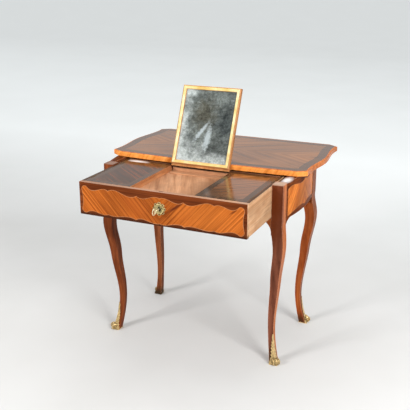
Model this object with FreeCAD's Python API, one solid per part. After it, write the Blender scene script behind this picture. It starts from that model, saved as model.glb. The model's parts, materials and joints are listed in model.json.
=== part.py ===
import FreeCAD, Part
import math
import os

V = FreeCAD.Vector

# Driving dimensions, in millimetres. Y runs from the front to the back, Z up from the floor.
# While modelling, Y is zero at the front faces of the front legs.

# Legs
legs_width = 706.0            # over the outer faces of the leg tops
carcass_depth = 402.0         # over the front and back faces of the leg tops
leg_height = 690.0
leg_side = 40.0               # square section at the top
post_length = 130.0           # straight part that takes the joints
ear_drop = 166.0              # below the leg's top, where the ears of the rails die out
ear_side = 41.5
ear_outward = 1.0
knee_drop = 205.0
knee_outward = 11.0           # along the diagonal
knee_side = 39.0
ankle_height = 135.0
ankle_inward = 28.0           # along the diagonal
ankle_side = 21.0
instep_height = 50.0
instep_inward = 15.0
instep_side = 22.5
foot_side = 27.0
calf_steps = 4

# Gilt shoes on the feet. The leaf's outline is half width and height.
shoe_wall = 1.6
shoe_leaf = ((19.5, 0.0), (19.5, 13.0), (11.5, 29.0), (9.5, 56.0), (8.0, 82.0), (3.5, 91.0), (3.5, 104.0),
             (0.0, 116.0))
shoe_root = 16.0              # how far in from the middle of the foot the leaf is cut
scroll_radius = 7.0
scroll_length = 20.0
scroll_set_in = 3.0

# Rails of the carcass
rail_height = 132.0
rail_set_in = 14.0            # inner face of the side rails from the inner face of the legs
rail_reveal = 2.0             # rails stand back from the faces of the legs
rail_bow = 18.0               # swell of the side rails at their middle
ear_radius = 36.0
ear_tip = 2.0
back_rail_thickness = 20.0
front_rail_height = 16.0
front_rail_drop = 2.0         # below the drawer front
front_ear_reach = 20.0
front_ear_drop = 46.0
front_ear_tip = 1.0
front_ear_bend = (0.35, 0.32)  # shares of the reach and the drop
tenon_thickness = 12.0
tenon_shoulder = 4.0          # from the inner face of the side rail
tenon_length = 20.0
tenon_height = 66.0
tenon_drop = 22.0
front_tenon_height = 10.0
back_tenon_thickness = 10.0
back_tenon_cover = 4.0        # from the back face of the rail
joint_clearance = 0.1
peg_radius = 3.0
peg_length = 32.0
peg_spacing = 34.0

# Veneers
veneer_thickness = 1.0
side_border = 14.0
side_border_top = 20.0
side_wave = 7.0
side_crest = 0.25             # shares of the half length
side_dip = 0.6

# Sliding top
top_thickness = 20.0
top_side_overhang = 41.0
top_overhang = 29.0           # at front and back when closed
top_travel = 137.0            # pushed back as in the picture
top_front_bow = 12.0
top_side_bow = 11.0           # serpentine: hollow by the corners, full in the middle
top_side_hollow = 1.0
top_cant_width = 35.0
top_cant_depth = 24.0
edge_width = 7.0
edge_round_top = 5.0
edge_round_bottom = 3.0
border_width = 33.0
cleat_width = 12.5
cleat_height = 22.0
cleat_gap = 0.5
tongue_depth = 6.0
tongue_height = 6.0
tongue_drop = 8.0
slide_clearance = 0.3
screw_radius = 2.0
screw_head_radius = 4.0
screw_head_height = 3.0
screw_bite = 11.0
screw_inset = 37.0            # from the ends of the cleat

# Drawer
drawer_gap = 1.0
drawer_top_drop = 4.0
drawer_height = 117.0
drawer_depth = 376.0
deck_depth = 22.0             # between the cross rail and the drawer's back
front_thickness = 16.0
side_thickness = 12.0
side_lift = 2.0               # sides end above the lower edge of the front
back_thickness = 9.0
bottom_thickness = 8.0
bottom_lift = 11.0
groove_depth = 5.0
dado_depth = 4.0
tail_count = 3
tail_length = 11.0
tail_root = 15.0
tail_tip = 21.0
partition_thickness = 12.0
well_width = 238.0
well_depth = 22.0
well_floor_thickness = 8.0
cross_rail_thickness = 10.0
deck_thickness = 10.0
runner_width = 40.0
runner_height = 16.0
guide_height = 19.0
panel_end_inset = 10.0
panel_corner = 16.0
panel_bulge = 1.0
panel_waist = 4.0

# Outline of the drawer front's veneer: share of the half length, and the border as a share of the height
panel_middle_top = ((0.0, 0.18), (0.12, 0.2), (0.215, 0.265), (0.288, 0.205))
panel_lobe_top = ((0.288, 0.205), (0.42, 0.25), (0.575, 0.13), (0.655, 0.18))
panel_end_top = ((0.655, 0.18), (0.71, 0.14), (0.81, 0.205), (0.94, 0.12))
panel_middle_low = ((0.0, 0.06), (0.12, 0.07), (0.215, 0.12), (0.3, 0.07))
panel_lobe_low = ((0.3, 0.07), (0.4, 0.12), (0.56, 0.07), (0.655, 0.1))
panel_end_low = ((0.655, 0.1), (0.72, 0.07), (0.81, 0.12), (0.94, 0.08))

# Lids over the side bays
lid_thickness = 12.0
lid_gap = 0.3
lid_set_back = 1.0            # lid edge behind the wall of the well
lid_border_long = 26.0
lid_border_short = 22.0
rest_size = 8.0

# Hinges
knuckle_radius = 1.6
pin_radius = 0.7
pin_clearance = 0.1
hinge_length = 30.0
leaf_thickness = 1.0
leaf_width = 8.0
knuckle_gap = 0.3
hinge_inset = 60.0            # from the ends of the lids
mirror_hinge_spacing = 140.0

# Lock and key
lock_width = 48.0
lock_height = 46.0
lock_thickness = 13.0
lock_recess = 8.0
lock_wall = 1.2
lock_drop = 2.0               # below the floor of the well
bolt_width = 18.0
bolt_thickness = 4.0
bolt_drop = 1.0               # head of the bolt below the edge of the drawer front
bolt_throw = 9.0
bolt_lift = 4.0               # above the sweep of the key's bit
keyhole_rise = 2.0            # above the middle of the drawer front
keyhole_radius = 3.3
keyhole_slot = 3.4
key_radius = 2.4
bit_reach = 8.0
bit_length = 7.0
bit_thickness = 2.2
bit_clearance = 1.0
shaft_showing = 24.0
bow_radius = 10.5
bow_wire = 2.3
collar_radius = 4.0
collar_length = 4.0
plate_radius = 15.0
plate_lobe = 7.5
plate_lobes = 6
plate_height = 27.0
plate_thickness = 2.4
strike_thickness = 1.0
strike_margin = 7.0
strike_clearance = 1.0

# Mirror
mirror_lean = 22.9
mirror_gap = 0.4
board_thickness = 7.0
frame_depth = 9.0
frame_width = 14.0
frame_round = 2.5
board_lip = 1.0               # back board shows this much round the gilt frame
board_margin = 8.0            # bare strip under the gilt frame
well_play = 3.0               # between the mirror board and the walls of the well
fold_gap = 3.3
glass_thickness = 2.5
glass_lap = 4.0
axis_drop = 0.3
foot_rail_thickness = 8.9
foot_rail_length = 45.0
foot_rail_sole = 3.2
foot_rail_play = 7.0

# Modelling allowances
overcut = 1.0                 # cutters run past the faces that they cut
near = 0.01

# Places that follow from the driving dimensions
half_width = legs_width / 2
leg_inner_x = half_width - leg_side
back_leg_front = carcass_depth - leg_side
middle_y = carcass_depth / 2
rail_bottom = leg_height - rail_height
rail_inner_x = leg_inner_x + rail_set_in
rail_outer_x = half_width - rail_reveal
tenon_x = rail_inner_x + tenon_shoulder
tenon_top = leg_height - tenon_drop
top_z = leg_height + top_thickness
top_front = top_travel - top_overhang
top_back = top_front + carcass_depth + 2 * top_overhang
top_half_width = half_width + top_side_overhang
drawer_half = leg_inner_x - drawer_gap
drawer_top = leg_height - drawer_top_drop
drawer_low = drawer_top - drawer_height
bay_back = top_front          # the drawer is pulled out until its bays clear the top, as in the picture
drawer_end = bay_back + cross_rail_thickness + deck_depth + back_thickness
drawer_pull = drawer_depth - drawer_end
drawer_front_y = -drawer_pull
bay_front = drawer_front_y + front_thickness
side_inner = drawer_half - side_thickness
side_low = drawer_low + side_lift
bottom_low = drawer_low + bottom_lift
bottom_top = bottom_low + bottom_thickness
well_half = well_width / 2
well_floor_z = drawer_top - well_depth
lid_low = drawer_top - lid_thickness
keyhole_z = drawer_low + drawer_height / 2 + keyhole_rise
key_end = drawer_front_y - plate_thickness - shaft_showing
lean = math.radians(mirror_lean)
axis_z = drawer_top - axis_drop
axis_y = top_front - mirror_gap - (top_z - axis_z) * math.tan(lean)
board_length = axis_y - bay_front - fold_gap
board_half = well_half - well_play
frame_half = board_half - board_lip
frame_low = board_margin
frame_high = board_length - board_lip
mirror_depth = board_thickness + frame_depth

# The finished model is centred: half way from the key's bow to the back edge of the top
key_front = key_end - 2 * bow_radius - bow_wire
frame_shift = V(0, -(key_front + top_back) / 2, 0)


def box(x0, x1, y0, y1, z0, z1):
    return Part.makeBox(x1 - x0, y1 - y0, z1 - z0, V(x0, y0, z0))


def grown(x0, x1, y0, y1, z0, z1, by):
    return box(x0 - by, x1 + by, y0 - by, y1 + by, z0 - by, z1 + by)


def left_of(shape):
    return shape.mirror(V(0, 0, 0), V(1, 0, 0))


def back_of(shape):
    return shape.mirror(V(0, middle_y, 0), V(0, 1, 0))


def flat(points):
    return Part.Face(Part.makePolygon(points + [points[0]]))


def line(a, b):
    return Part.makeLine(a, b)


def arc(a, through, b):
    return Part.Arc(a, through, b).toShape()


def curve(points):
    spline = Part.BSplineCurve()
    spline.interpolate(points)
    return spline.toShape()


def filled(edges):
    return Part.Face(Part.Wire(Part.__sortEdges__(edges)))


def joined(shapes):
    whole = shapes[0]
    for shape in shapes[1:]:
        whole = whole.fuse(shape)
    return whole.removeSplitter()


def without(shape, cutters):
    for cutter in cutters:
        shape = shape.cut(cutter)
    return shape


# Legs

def leg_square(height, outward, side):
    step = outward / math.sqrt(2)
    x = half_width - leg_side / 2 + step
    y = leg_side / 2 - step
    h = side / 2
    signs = [(-1, -1), (1, -1), (1, 1), (-1, 1), (-1, -1)]
    return Part.makePolygon([V(x + sx * h, y + sy * h, height) for sx, sy in signs])


def lower_leg_sections(extra):
    sections = [(0.0, 0.0, foot_side), (instep_height, -instep_inward, instep_side)]
    knee_height = leg_height - knee_drop
    for step in range(calf_steps):
        share = step / calf_steps
        swing = share * share * (3 - 2 * share)
        height = ankle_height + (knee_height - ankle_height) * share
        outward = -ankle_inward + (knee_outward + ankle_inward) * swing
        side = ankle_side + (knee_side - ankle_side) * share
        sections.append((height, outward, side))
    sections.append((knee_height, knee_outward, knee_side))
    sections.append((leg_height - ear_drop, ear_outward, ear_side))
    sections.append((leg_height - post_length, 0.0, leg_side))
    return [leg_square(height, outward, side + extra) for height, outward, side in sections]


def leg_blank():
    post = box(leg_inner_x, half_width, 0, leg_side, leg_height - post_length, leg_height)
    return Part.makeLoft(lower_leg_sections(0), True).fuse(post)


def shoe(leg):
    # A thin shell round the foot, kept only where the leaf climbs the outer corner
    shell = Part.makeLoft(lower_leg_sections(2 * shoe_wall), True)
    centre = V(half_width - leg_side / 2, leg_side / 2, 0)
    across = V(1, 1, 0).normalize()
    outward = V(1, -1, 0).normalize()
    root = centre - outward * shoe_root
    right = [root + across * half + V(0, 0, z) for half, z in shoe_leaf]
    left = [root - across * half + V(0, 0, z) for half, z in reversed(shoe_leaf[:-1])]
    leaf = flat(right + left).extrude(outward * (shoe_root + 2 * leg_side))
    toe = centre + outward * (foot_side / math.sqrt(2) - scroll_set_in) + V(0, 0, scroll_radius)
    scroll = Part.makeCylinder(scroll_radius, scroll_length, toe - across * (scroll_length / 2), across)
    return joined([shell.common(leaf), scroll]).cut(leg)


# Rails

def side_plan(shift):
    front = V(rail_outer_x - shift, leg_side, 0)
    back = V(rail_outer_x - shift, back_leg_front, 0)
    swell = V(rail_outer_x + rail_bow - shift, middle_y, 0)
    inner_front = V(rail_inner_x, leg_side, 0)
    inner_back = V(rail_inner_x, back_leg_front, 0)
    return filled([arc(front, swell, back), line(back, inner_back), line(inner_back, inner_front),
                   line(inner_front, front)])


def side_swell(shift):
    low = rail_bottom - ear_radius
    return side_plan(shift).translated(V(0, 0, low)).extrude(V(0, 0, leg_height - low))


def side_arch():
    y0 = leg_side + ear_tip
    y1 = back_leg_front - ear_tip
    low = rail_bottom - ear_radius
    bend = ear_radius * (1 - math.sqrt(0.5))
    below = low - ear_radius

    def at(y, z):
        return V(rail_inner_x - rail_bow, y, z)
    edges = [line(at(y0, below), at(y0, low)),
             arc(at(y0, low), at(y0 + bend, rail_bottom - bend), at(y0 + ear_radius, rail_bottom)),
             line(at(y0 + ear_radius, rail_bottom), at(y1 - ear_radius, rail_bottom)),
             arc(at(y1 - ear_radius, rail_bottom), at(y1 - bend, rail_bottom - bend), at(y1, low)),
             line(at(y1, low), at(y1, below)),
             line(at(y1, below), at(y0, below))]
    return filled(edges).extrude(V(leg_side + 4 * rail_bow, 0, 0))


def side_tenons(by):
    x1 = tenon_x + tenon_thickness
    low = tenon_top - tenon_height
    front = grown(tenon_x, x1, leg_side - tenon_length, leg_side, low, tenon_top, by)
    return [front, back_of(front)]


def side_panel_half():
    # Outline of the front half of the side veneer, seen from the side
    y0 = leg_side + side_border
    zt = leg_height - side_border_top
    zl = rail_bottom + side_border
    span = middle_y - y0

    def at(share, z):
        return V(rail_inner_x, y0 + share * span, z)
    upper = [at(0, zt - side_wave), at(side_crest, zt), at(side_dip, zt - side_wave), at(1, zt)]
    lower = [at(1, zl), at(side_dip, zl + side_wave), at(side_crest, zl), at(0, zl - side_wave)]
    edges = [curve(upper), line(upper[-1], lower[0]), curve(lower), line(lower[-1], upper[0])]
    return filled(edges).extrude(V(leg_side + 2 * rail_bow, 0, 0))


def tongue_groove():
    z1 = leg_height - tongue_drop + slide_clearance
    z0 = leg_height - tongue_drop - tongue_height - slide_clearance
    depth = tongue_depth + slide_clearance
    return box(rail_inner_x - slide_clearance, rail_inner_x + depth, leg_side, back_leg_front, z0, z1)


def scribed(shape, legs):
    # Fitted against the swelling faces of the legs
    return max(without(shape, legs).Solids, key=lambda solid: solid.Volume)


def side_rail_and_veneer(legs):
    swell = side_swell(0)
    shell = swell.cut(side_swell(veneer_thickness))
    front_half = shell.common(side_panel_half())
    rear_half = back_of(front_half)
    arched = scribed(swell.cut(side_arch()), legs)
    rail = joined([arched] + side_tenons(0))
    rail = without(rail, [tongue_groove(), front_half, rear_half])
    return rail, Part.Compound([front_half, rear_half])


def peg_places():
    y = leg_side - tenon_length / 2
    middle = tenon_top - tenon_height / 2
    return [V(leg_inner_x, y, middle + sign * peg_spacing / 2) for sign in (-1, 1)]


def right_pegs():
    front = [Part.makeCylinder(peg_radius, peg_length, place, V(1, 0, 0)) for place in peg_places()]
    return front + [back_of(peg) for peg in front]


def back_rail_y():
    y1 = carcass_depth - rail_reveal
    return y1 - back_rail_thickness, y1


def back_tenon(by):
    y1 = back_rail_y()[1] - back_tenon_cover
    y0 = y1 - back_tenon_thickness
    low = tenon_top - tenon_height
    return grown(leg_inner_x, leg_inner_x + tenon_length, y0, y1, low, tenon_top, by)


def back_rail(legs):
    y0, y1 = back_rail_y()
    board = scribed(box(-leg_inner_x, leg_inner_x, y0, y1, rail_bottom, leg_height), legs)
    return joined([board, back_tenon(0), left_of(back_tenon(0))])


def front_rail_top():
    return drawer_low - front_rail_drop


def front_tenon(by):
    z1 = front_rail_top() - (front_rail_height - front_tenon_height) / 2
    z0 = z1 - front_tenon_height
    y0 = (leg_side - tenon_thickness) / 2
    return grown(leg_inner_x, leg_inner_x + tenon_length, y0, y0 + tenon_thickness, z0, z1, by)


def front_ear():
    # Curved bracket between the front rail and the front leg
    z1 = front_rail_top() - front_rail_height
    z0 = z1 - front_ear_drop
    x1 = leg_inner_x
    x0 = x1 - front_ear_reach
    bend_x, bend_z = front_ear_bend

    def at(x, z):
        return V(x, rail_reveal, z)
    through = at(x1 - front_ear_reach * bend_x, z1 - front_ear_drop * bend_z)
    tip = at(x1 - front_ear_tip, z0)
    edges = [arc(at(x0, z1), through, tip), line(tip, at(x1, z0)), line(at(x1, z0), at(x1, z1)),
             line(at(x1, z1), at(x0, z1))]
    return filled(edges).extrude(V(0, leg_side - rail_reveal, 0))


def front_rail(legs):
    z1 = front_rail_top()
    board = box(-leg_inner_x, leg_inner_x, rail_reveal, leg_side, z1 - front_rail_height, z1)
    eared = scribed(joined([board, front_ear(), left_of(front_ear())]), legs)
    return joined([eared, front_tenon(0), left_of(front_tenon(0))])


def drawer_runner(legs):
    x0 = rail_inner_x - runner_width
    guide_x = drawer_half + drawer_gap
    guide_top = side_low + guide_height
    sole = box(x0, rail_inner_x, leg_side, back_leg_front, side_low - runner_height, side_low)
    guide = box(guide_x, rail_inner_x, leg_side, back_leg_front, side_low, guide_top)
    return scribed(joined([sole, guide]), legs)


# Sliding top

def top_face(inset, z):
    trim = (2 - math.sqrt(2)) * inset
    half = top_half_width - inset
    front = top_front + inset
    back = top_back - inset
    corner = front + top_front_bow
    cant_x = half - (top_cant_width - trim)
    cant_front = corner + top_cant_depth - trim
    cant_back = back - (top_cant_depth - trim)
    middle = (cant_front + cant_back) / 2
    hollow_front = (cant_front + middle) / 2
    hollow_back = (cant_back + middle) / 2
    edges = [arc(V(-cant_x, corner, z), V(0, front, z), V(cant_x, corner, z)),
             line(V(-cant_x, back, z), V(cant_x, back, z))]
    for side in (-1, 1):
        edges.append(line(V(side * cant_x, corner, z), V(side * half, cant_front, z)))
        edges.append(curve([V(side * half, cant_front, z), V(side * (half + top_side_hollow), hollow_front, z),
                            V(side * (half + top_side_bow), middle, z),
                            V(side * (half + top_side_hollow), hollow_back, z), V(side * half, cant_back, z)]))
        edges.append(line(V(side * half, cant_back, z), V(side * cant_x, back, z)))
    return filled(edges)


def edge_moulding():
    whole = top_face(0, leg_height).extrude(V(0, 0, top_thickness))
    upper = [e for e in whole.Edges if e.BoundBox.ZMin > top_z - near]
    whole = whole.makeFillet(edge_round_top, upper)
    lower = [e for e in whole.Edges if e.BoundBox.ZMax < leg_height + near]
    whole = whole.makeFillet(edge_round_bottom, lower)
    return whole.cut(top_face(edge_width, leg_height).extrude(V(0, 0, top_thickness)))


def top_veneers():
    z = top_z - veneer_thickness
    sheet = top_face(edge_width, z).extrude(V(0, 0, veneer_thickness))
    field = top_face(edge_width + border_width, z).extrude(V(0, 0, veneer_thickness))
    right_side = box(0, top_half_width, top_front, top_back, z, top_z)
    return sheet.cut(field), field.common(left_of(right_side)), field.common(right_side)


def cleat_span():
    length = back_leg_front - leg_side - top_travel - 2 * cleat_gap
    return back_leg_front - cleat_gap - length, back_leg_front - cleat_gap


def cleat_x():
    x1 = rail_inner_x - slide_clearance
    return x1 - cleat_width, x1


def cleat_screw_places():
    y0, y1 = cleat_span()
    x0, x1 = cleat_x()
    return [V((x0 + x1) / 2, y, leg_height - cleat_height) for y in (y0 + screw_inset, y1 - screw_inset)]


def cleat_screw(place):
    head = Part.makeCone(screw_head_radius, screw_radius, screw_head_height, place)
    return joined([head, Part.makeCylinder(screw_radius, cleat_height + screw_bite, place)])


def top_cleat():
    x0, x1 = cleat_x()
    y0, y1 = cleat_span()
    bar = box(x0, x1, y0, y1, leg_height - cleat_height, leg_height)
    z1 = leg_height - tongue_drop
    tongue = box(x1, x1 + slide_clearance + tongue_depth, y0, y1, z1 - tongue_height, z1)
    return without(joined([bar, tongue]), [cleat_screw(place) for place in cleat_screw_places()])


def strike_slot():
    # Opening over the lock's bolt when top and drawer are both closed
    x = bolt_width / 2 + strike_clearance
    shift = drawer_pull + top_travel
    y0, y1 = bolt_y()
    y0 += shift - strike_clearance
    y1 += shift + strike_clearance
    depth = bolt_throw - bolt_drop - drawer_top_drop + strike_clearance
    return -x, x, y0, y1, leg_height, leg_height + depth


def strike_plate_blank():
    x0, x1, y0, y1, z0, z1 = strike_slot()
    return box(x0 - strike_margin, x1 + strike_margin, y0 - strike_margin / 2, y1 + strike_margin / 2,
               z0, z0 + strike_thickness)


def top_board():
    board = top_face(edge_width, leg_height).extrude(V(0, 0, top_thickness - veneer_thickness))
    screws = [cleat_screw(place) for place in cleat_screw_places()]
    cutters = screws + [left_of(screw) for screw in screws]
    return without(board, cutters + [strike_plate_blank(), box(*strike_slot())])


# Drawer

def panel_half():
    # The right half of the drawer front's veneer
    half = drawer_half - panel_end_inset
    y = drawer_front_y

    def upper(points):
        return curve([V(share * half, y, drawer_top - drop * drawer_height) for share, drop in points])

    def lower(points):
        return curve([V(share * half, y, drawer_low + rise * drawer_height) for share, rise in points])
    crest = upper(panel_end_top)
    foot = lower(panel_end_low)
    top_corner = crest.Vertexes[-1].Point
    low_corner = foot.Vertexes[-1].Point
    end_high = V(half, y, top_corner.z - panel_corner)
    end_deep = V(half, y, low_corner.z + panel_corner)
    waist = V(half - panel_waist, y, (drawer_top + drawer_low) / 2)
    bend = panel_corner * (1 - math.sqrt(0.5))
    middle_top = upper(panel_middle_top)
    middle_low = lower(panel_middle_low)
    edges = [middle_top, upper(panel_lobe_top), crest,
             arc(top_corner, V(half - panel_bulge, y, top_corner.z - bend), end_high),
             arc(end_high, waist, end_deep),
             arc(end_deep, V(half - panel_bulge, y, low_corner.z + bend), low_corner),
             foot, lower(panel_lobe_low), middle_low,
             line(middle_low.Vertexes[0].Point, middle_top.Vertexes[0].Point)]
    return filled(edges).extrude(V(0, veneer_thickness, 0))


def tails():
    pitch = (drawer_height - side_lift) / tail_count
    solids = []
    for index in range(tail_count):
        z = side_low + pitch * (index + 0.5)
        root = tail_root / 2
        tip = tail_tip / 2
        points = [V(side_inner, bay_front, z - root), V(side_inner, bay_front - tail_length, z - tip),
                  V(side_inner, bay_front - tail_length, z + tip), V(side_inner, bay_front, z + root)]
        solids.append(flat(points).extrude(V(side_thickness, 0, 0)))
    return solids


def bottom_panel():
    x = side_inner + groove_depth
    return box(-x, x, bay_front - groove_depth, drawer_end, bottom_low, bottom_top)


def drawer_back():
    x = side_inner + dado_depth
    return box(-x, x, drawer_end - back_thickness, drawer_end, bottom_top, drawer_top)


def cross_rail_blank():
    x = side_inner + dado_depth
    return box(-x, x, bay_back, bay_back + cross_rail_thickness, bottom_top, drawer_top)


def partition_blank():
    return box(well_half, well_half + partition_thickness, bay_front - dado_depth, bay_back + dado_depth,
               bottom_top, lid_low)


def well_floor():
    x = well_half + dado_depth
    return box(-x, x, bay_front, bay_back, well_floor_z - well_floor_thickness, well_floor_z)


def rear_deck():
    return box(-side_inner, side_inner, bay_back + cross_rail_thickness, drawer_end - back_thickness,
               drawer_top - deck_thickness, drawer_top)


def lid_rest():
    return box(side_inner - rest_size, side_inner, bay_front, bay_back, lid_low - rest_size, lid_low)


def partition():
    return partition_blank().cut(well_floor())


def cross_rail():
    return without(cross_rail_blank(), [partition_blank(), left_of(partition_blank())])


def drawer_side():
    x1 = drawer_half
    board = box(side_inner, x1, bay_front, drawer_end, side_low, drawer_top)
    board = joined([board] + tails())
    cutters = [bottom_panel(), drawer_back(), cross_rail_blank(), lid_hinge_relief()]
    return without(board, cutters + lid_leaf_pockets(fixed=True))


def keyhole(y0, y1):
    round_part = Part.makeCylinder(keyhole_radius, y1 - y0, V(0, y0, keyhole_z), V(0, 1, 0))
    slot_low = keyhole_z - bit_reach - bit_clearance
    slot = box(-keyhole_slot / 2, keyhole_slot / 2, y0, y1, slot_low, keyhole_z)
    return round_part.fuse(slot)


def lock_box(by):
    y0 = bay_front - lock_recess
    z1 = well_floor_z - well_floor_thickness - lock_drop
    return grown(-lock_width / 2, lock_width / 2, y0, y0 + lock_thickness, z1 - lock_height, z1, by)


def bolt_y():
    y0 = bay_front - lock_recess + lock_wall + slide_clearance
    return y0, y0 + bolt_thickness


def bolt_box(by, top):
    y0, y1 = bolt_y()
    low = keyhole_z + bit_reach + bolt_lift
    return grown(-bolt_width / 2, bolt_width / 2, y0, y1, low, top, by)


def lock_bolt():
    return bolt_box(0, drawer_top - bolt_drop)


def lock_case():
    inside = lock_box(-lock_wall)
    y1 = bay_front - lock_recess + lock_wall
    return without(lock_box(0), [inside, keyhole(y1 - 2 * lock_wall, y1 + lock_wall),
                                 bolt_box(slide_clearance, drawer_top)])


def drawer_front():
    board = box(-drawer_half, drawer_half, drawer_front_y, bay_front, drawer_low, drawer_top)
    right = tails() + [partition_blank(), panel_half()]
    cutters = right + [left_of(piece) for piece in right]
    cutters += [bottom_panel(), lock_box(0), bolt_box(slide_clearance, drawer_top + overcut)]
    cutters.append(keyhole(drawer_front_y - overcut, bay_front))
    return without(board, cutters)


def front_veneer():
    return panel_half().cut(keyhole(drawer_front_y - overcut, bay_front))


def escutcheon():
    # Lobed plate round the keyhole, taller than wide
    y = drawer_front_y - plate_thickness
    forward = V(0, 1, 0)
    pieces = [Part.makeCylinder(plate_radius, plate_thickness, V(0, y, keyhole_z), forward)]
    for index in range(plate_lobes):
        angle = math.radians(90 + 360 * index / plate_lobes)
        upright = index % (plate_lobes // 2) == 0
        reach = plate_height - plate_lobe if upright else plate_radius
        place = V(reach * math.cos(angle), y, keyhole_z + reach * math.sin(angle))
        pieces.append(Part.makeCylinder(plate_lobe, plate_thickness, place, forward))
    return joined(pieces).cut(keyhole(y - overcut, drawer_front_y + overcut))


def key():
    back = V(0, 1, 0)
    bit_end = bay_front - lock_recess + lock_thickness - lock_wall - bit_clearance
    shaft = Part.makeCylinder(key_radius, bit_end - key_end, V(0, key_end, keyhole_z), back)
    collar = Part.makeCylinder(collar_radius, collar_length, V(0, key_end + collar_length, keyhole_z), back)
    bow = Part.makeTorus(bow_radius, bow_wire, V(0, key_end - bow_radius, keyhole_z), V(1, 0, 0))
    half = bit_thickness / 2
    bit = box(-half, half, bit_end - bit_length, bit_end, keyhole_z - bit_reach, keyhole_z)
    return joined([shaft, collar, bow, bit])


# Hinges. A leaf runs from its axis along one direction, and lies into the wood along another.

class HingeLine:
    def __init__(self, axis, fixed_along, fixed_into, moving_along, moving_into, set_in):
        self.axis = axis
        self.ways = {True: (fixed_along, fixed_into), False: (moving_along, moving_into)}
        self.set_in = set_in

    def plate(self, centre, fixed, a0, a1, l0, l1):
        along, into = self.ways[fixed]
        start = centre + into * self.set_in
        points = [start + self.axis * a + along * l for a, l in ((a0, l0), (a1, l0), (a1, l1), (a0, l1))]
        return flat(points).extrude(into * leaf_thickness)

    def barrel(self, centre, a0, a1, radius):
        return Part.makeCylinder(radius, a1 - a0, centre + self.axis * a0, self.axis)

    def spans(self, fixed):
        end = hinge_length / 2
        third = hinge_length / 6
        gap = knuckle_gap / 2
        if fixed:
            return [(-end, -third - gap), (third + gap, end)]
        return [(-third + gap, third - gap)]

    def leaf(self, centre, fixed):
        end = hinge_length / 2
        neck = knuckle_radius + knuckle_gap
        pieces = [self.plate(centre, fixed, -end, end, neck, leaf_width)]
        for a0, a1 in self.spans(fixed):
            pieces.append(self.plate(centre, fixed, a0, a1, 0, neck))
            pieces.append(self.barrel(centre, a0, a1, knuckle_radius))
        bore = self.barrel(centre, -end, end, pin_radius + pin_clearance)
        return joined(pieces).cut(bore)

    def pocket(self, centre, fixed):
        end = hinge_length / 2
        return self.plate(centre, fixed, -end, end, 0, leaf_width)

    def relief(self, centre):
        end = hinge_length / 2 + knuckle_gap
        return self.barrel(centre, -end, end, knuckle_radius + knuckle_gap)

    def pin(self, centre):
        end = hinge_length / 2
        return self.barrel(centre, -end, end, pin_radius)


def lid_hinge_line():
    down = V(0, 0, -1)
    return HingeLine(V(0, 1, 0), down, V(1, 0, 0), down, V(-1, 0, 0), lid_gap / 2)


def lid_hinge_places():
    x = side_inner - lid_gap / 2
    return [V(x, bay_front + hinge_inset, drawer_top), V(x, bay_back - hinge_inset, drawer_top)]


def lid_leaves(fixed):
    hinge = lid_hinge_line()
    return [hinge.leaf(place, fixed) for place in lid_hinge_places()]


def lid_leaf_pockets(fixed):
    hinge = lid_hinge_line()
    return [hinge.pocket(place, fixed) for place in lid_hinge_places()]


def lid_hinge_relief():
    hinge = lid_hinge_line()
    return Part.Compound([hinge.relief(place) for place in lid_hinge_places()])


def lid_pins():
    hinge = lid_hinge_line()
    return [hinge.pin(place) for place in lid_hinge_places()]


def lid_limits():
    x0 = well_half + lid_set_back
    x1 = side_inner - lid_gap
    return x0, x1, bay_front + lid_gap, bay_back - lid_gap


def lid_field():
    x0, x1, y0, y1 = lid_limits()
    return box(x0 + lid_border_short, x1 - lid_border_short, y0 + lid_border_long, y1 - lid_border_long,
               drawer_top - veneer_thickness, drawer_top)


def lid():
    x0, x1, y0, y1 = lid_limits()
    board = box(x0, x1, y0, y1, lid_low, drawer_top)
    return without(board, [lid_field(), lid_hinge_relief()] + lid_leaf_pockets(fixed=False))


# Mirror. It is drawn upright with its lower back edge on the X axis, and then leaned back.

def leaned(shape):
    shape = shape.copy()
    shape.rotate(V(0, 0, 0), V(1, 0, 0), -mirror_lean)
    shape.translate(V(0, axis_y, axis_z))
    return shape


def mirror_hinge_line():
    up = V(0, math.sin(lean), math.cos(lean))
    forward = V(0, -math.cos(lean), math.sin(lean))
    return HingeLine(V(1, 0, 0), V(0, 1, 0), V(0, 0, -1), up, forward, axis_drop)


def mirror_hinge_places():
    return [V(side * mirror_hinge_spacing / 2, axis_y, axis_z) for side in (-1, 1)]


def mirror_reliefs():
    hinge = mirror_hinge_line()
    return [hinge.relief(place) for place in mirror_hinge_places()]


def mirror_pockets(fixed):
    hinge = mirror_hinge_line()
    return [hinge.pocket(place, fixed) for place in mirror_hinge_places()]


def mirror_board():
    board = leaned(box(-board_half, board_half, -board_thickness, 0, 0, board_length))
    return without(board, mirror_reliefs() + mirror_pockets(fixed=False))


def window_limits(by):
    x = frame_half - frame_width + by
    return -x, x, frame_low + frame_width - by, frame_high - frame_width + by


def glass_box(by):
    x0, x1, z0, z1 = window_limits(glass_lap + by)
    return box(x0, x1, -board_thickness - glass_thickness, -board_thickness, z0, z1)


def mirror_frame_ring():
    front = -mirror_depth
    ring = box(-frame_half, frame_half, front, -board_thickness, frame_low, frame_high)
    x0, x1, z0, z1 = window_limits(0)
    ring = ring.cut(box(x0, x1, front - overcut, 0, z0, z1))
    lips = [e for e in ring.Edges if e.BoundBox.YMax < front + near]
    return ring.makeFillet(frame_round, lips).cut(glass_box(slide_clearance))


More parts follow.
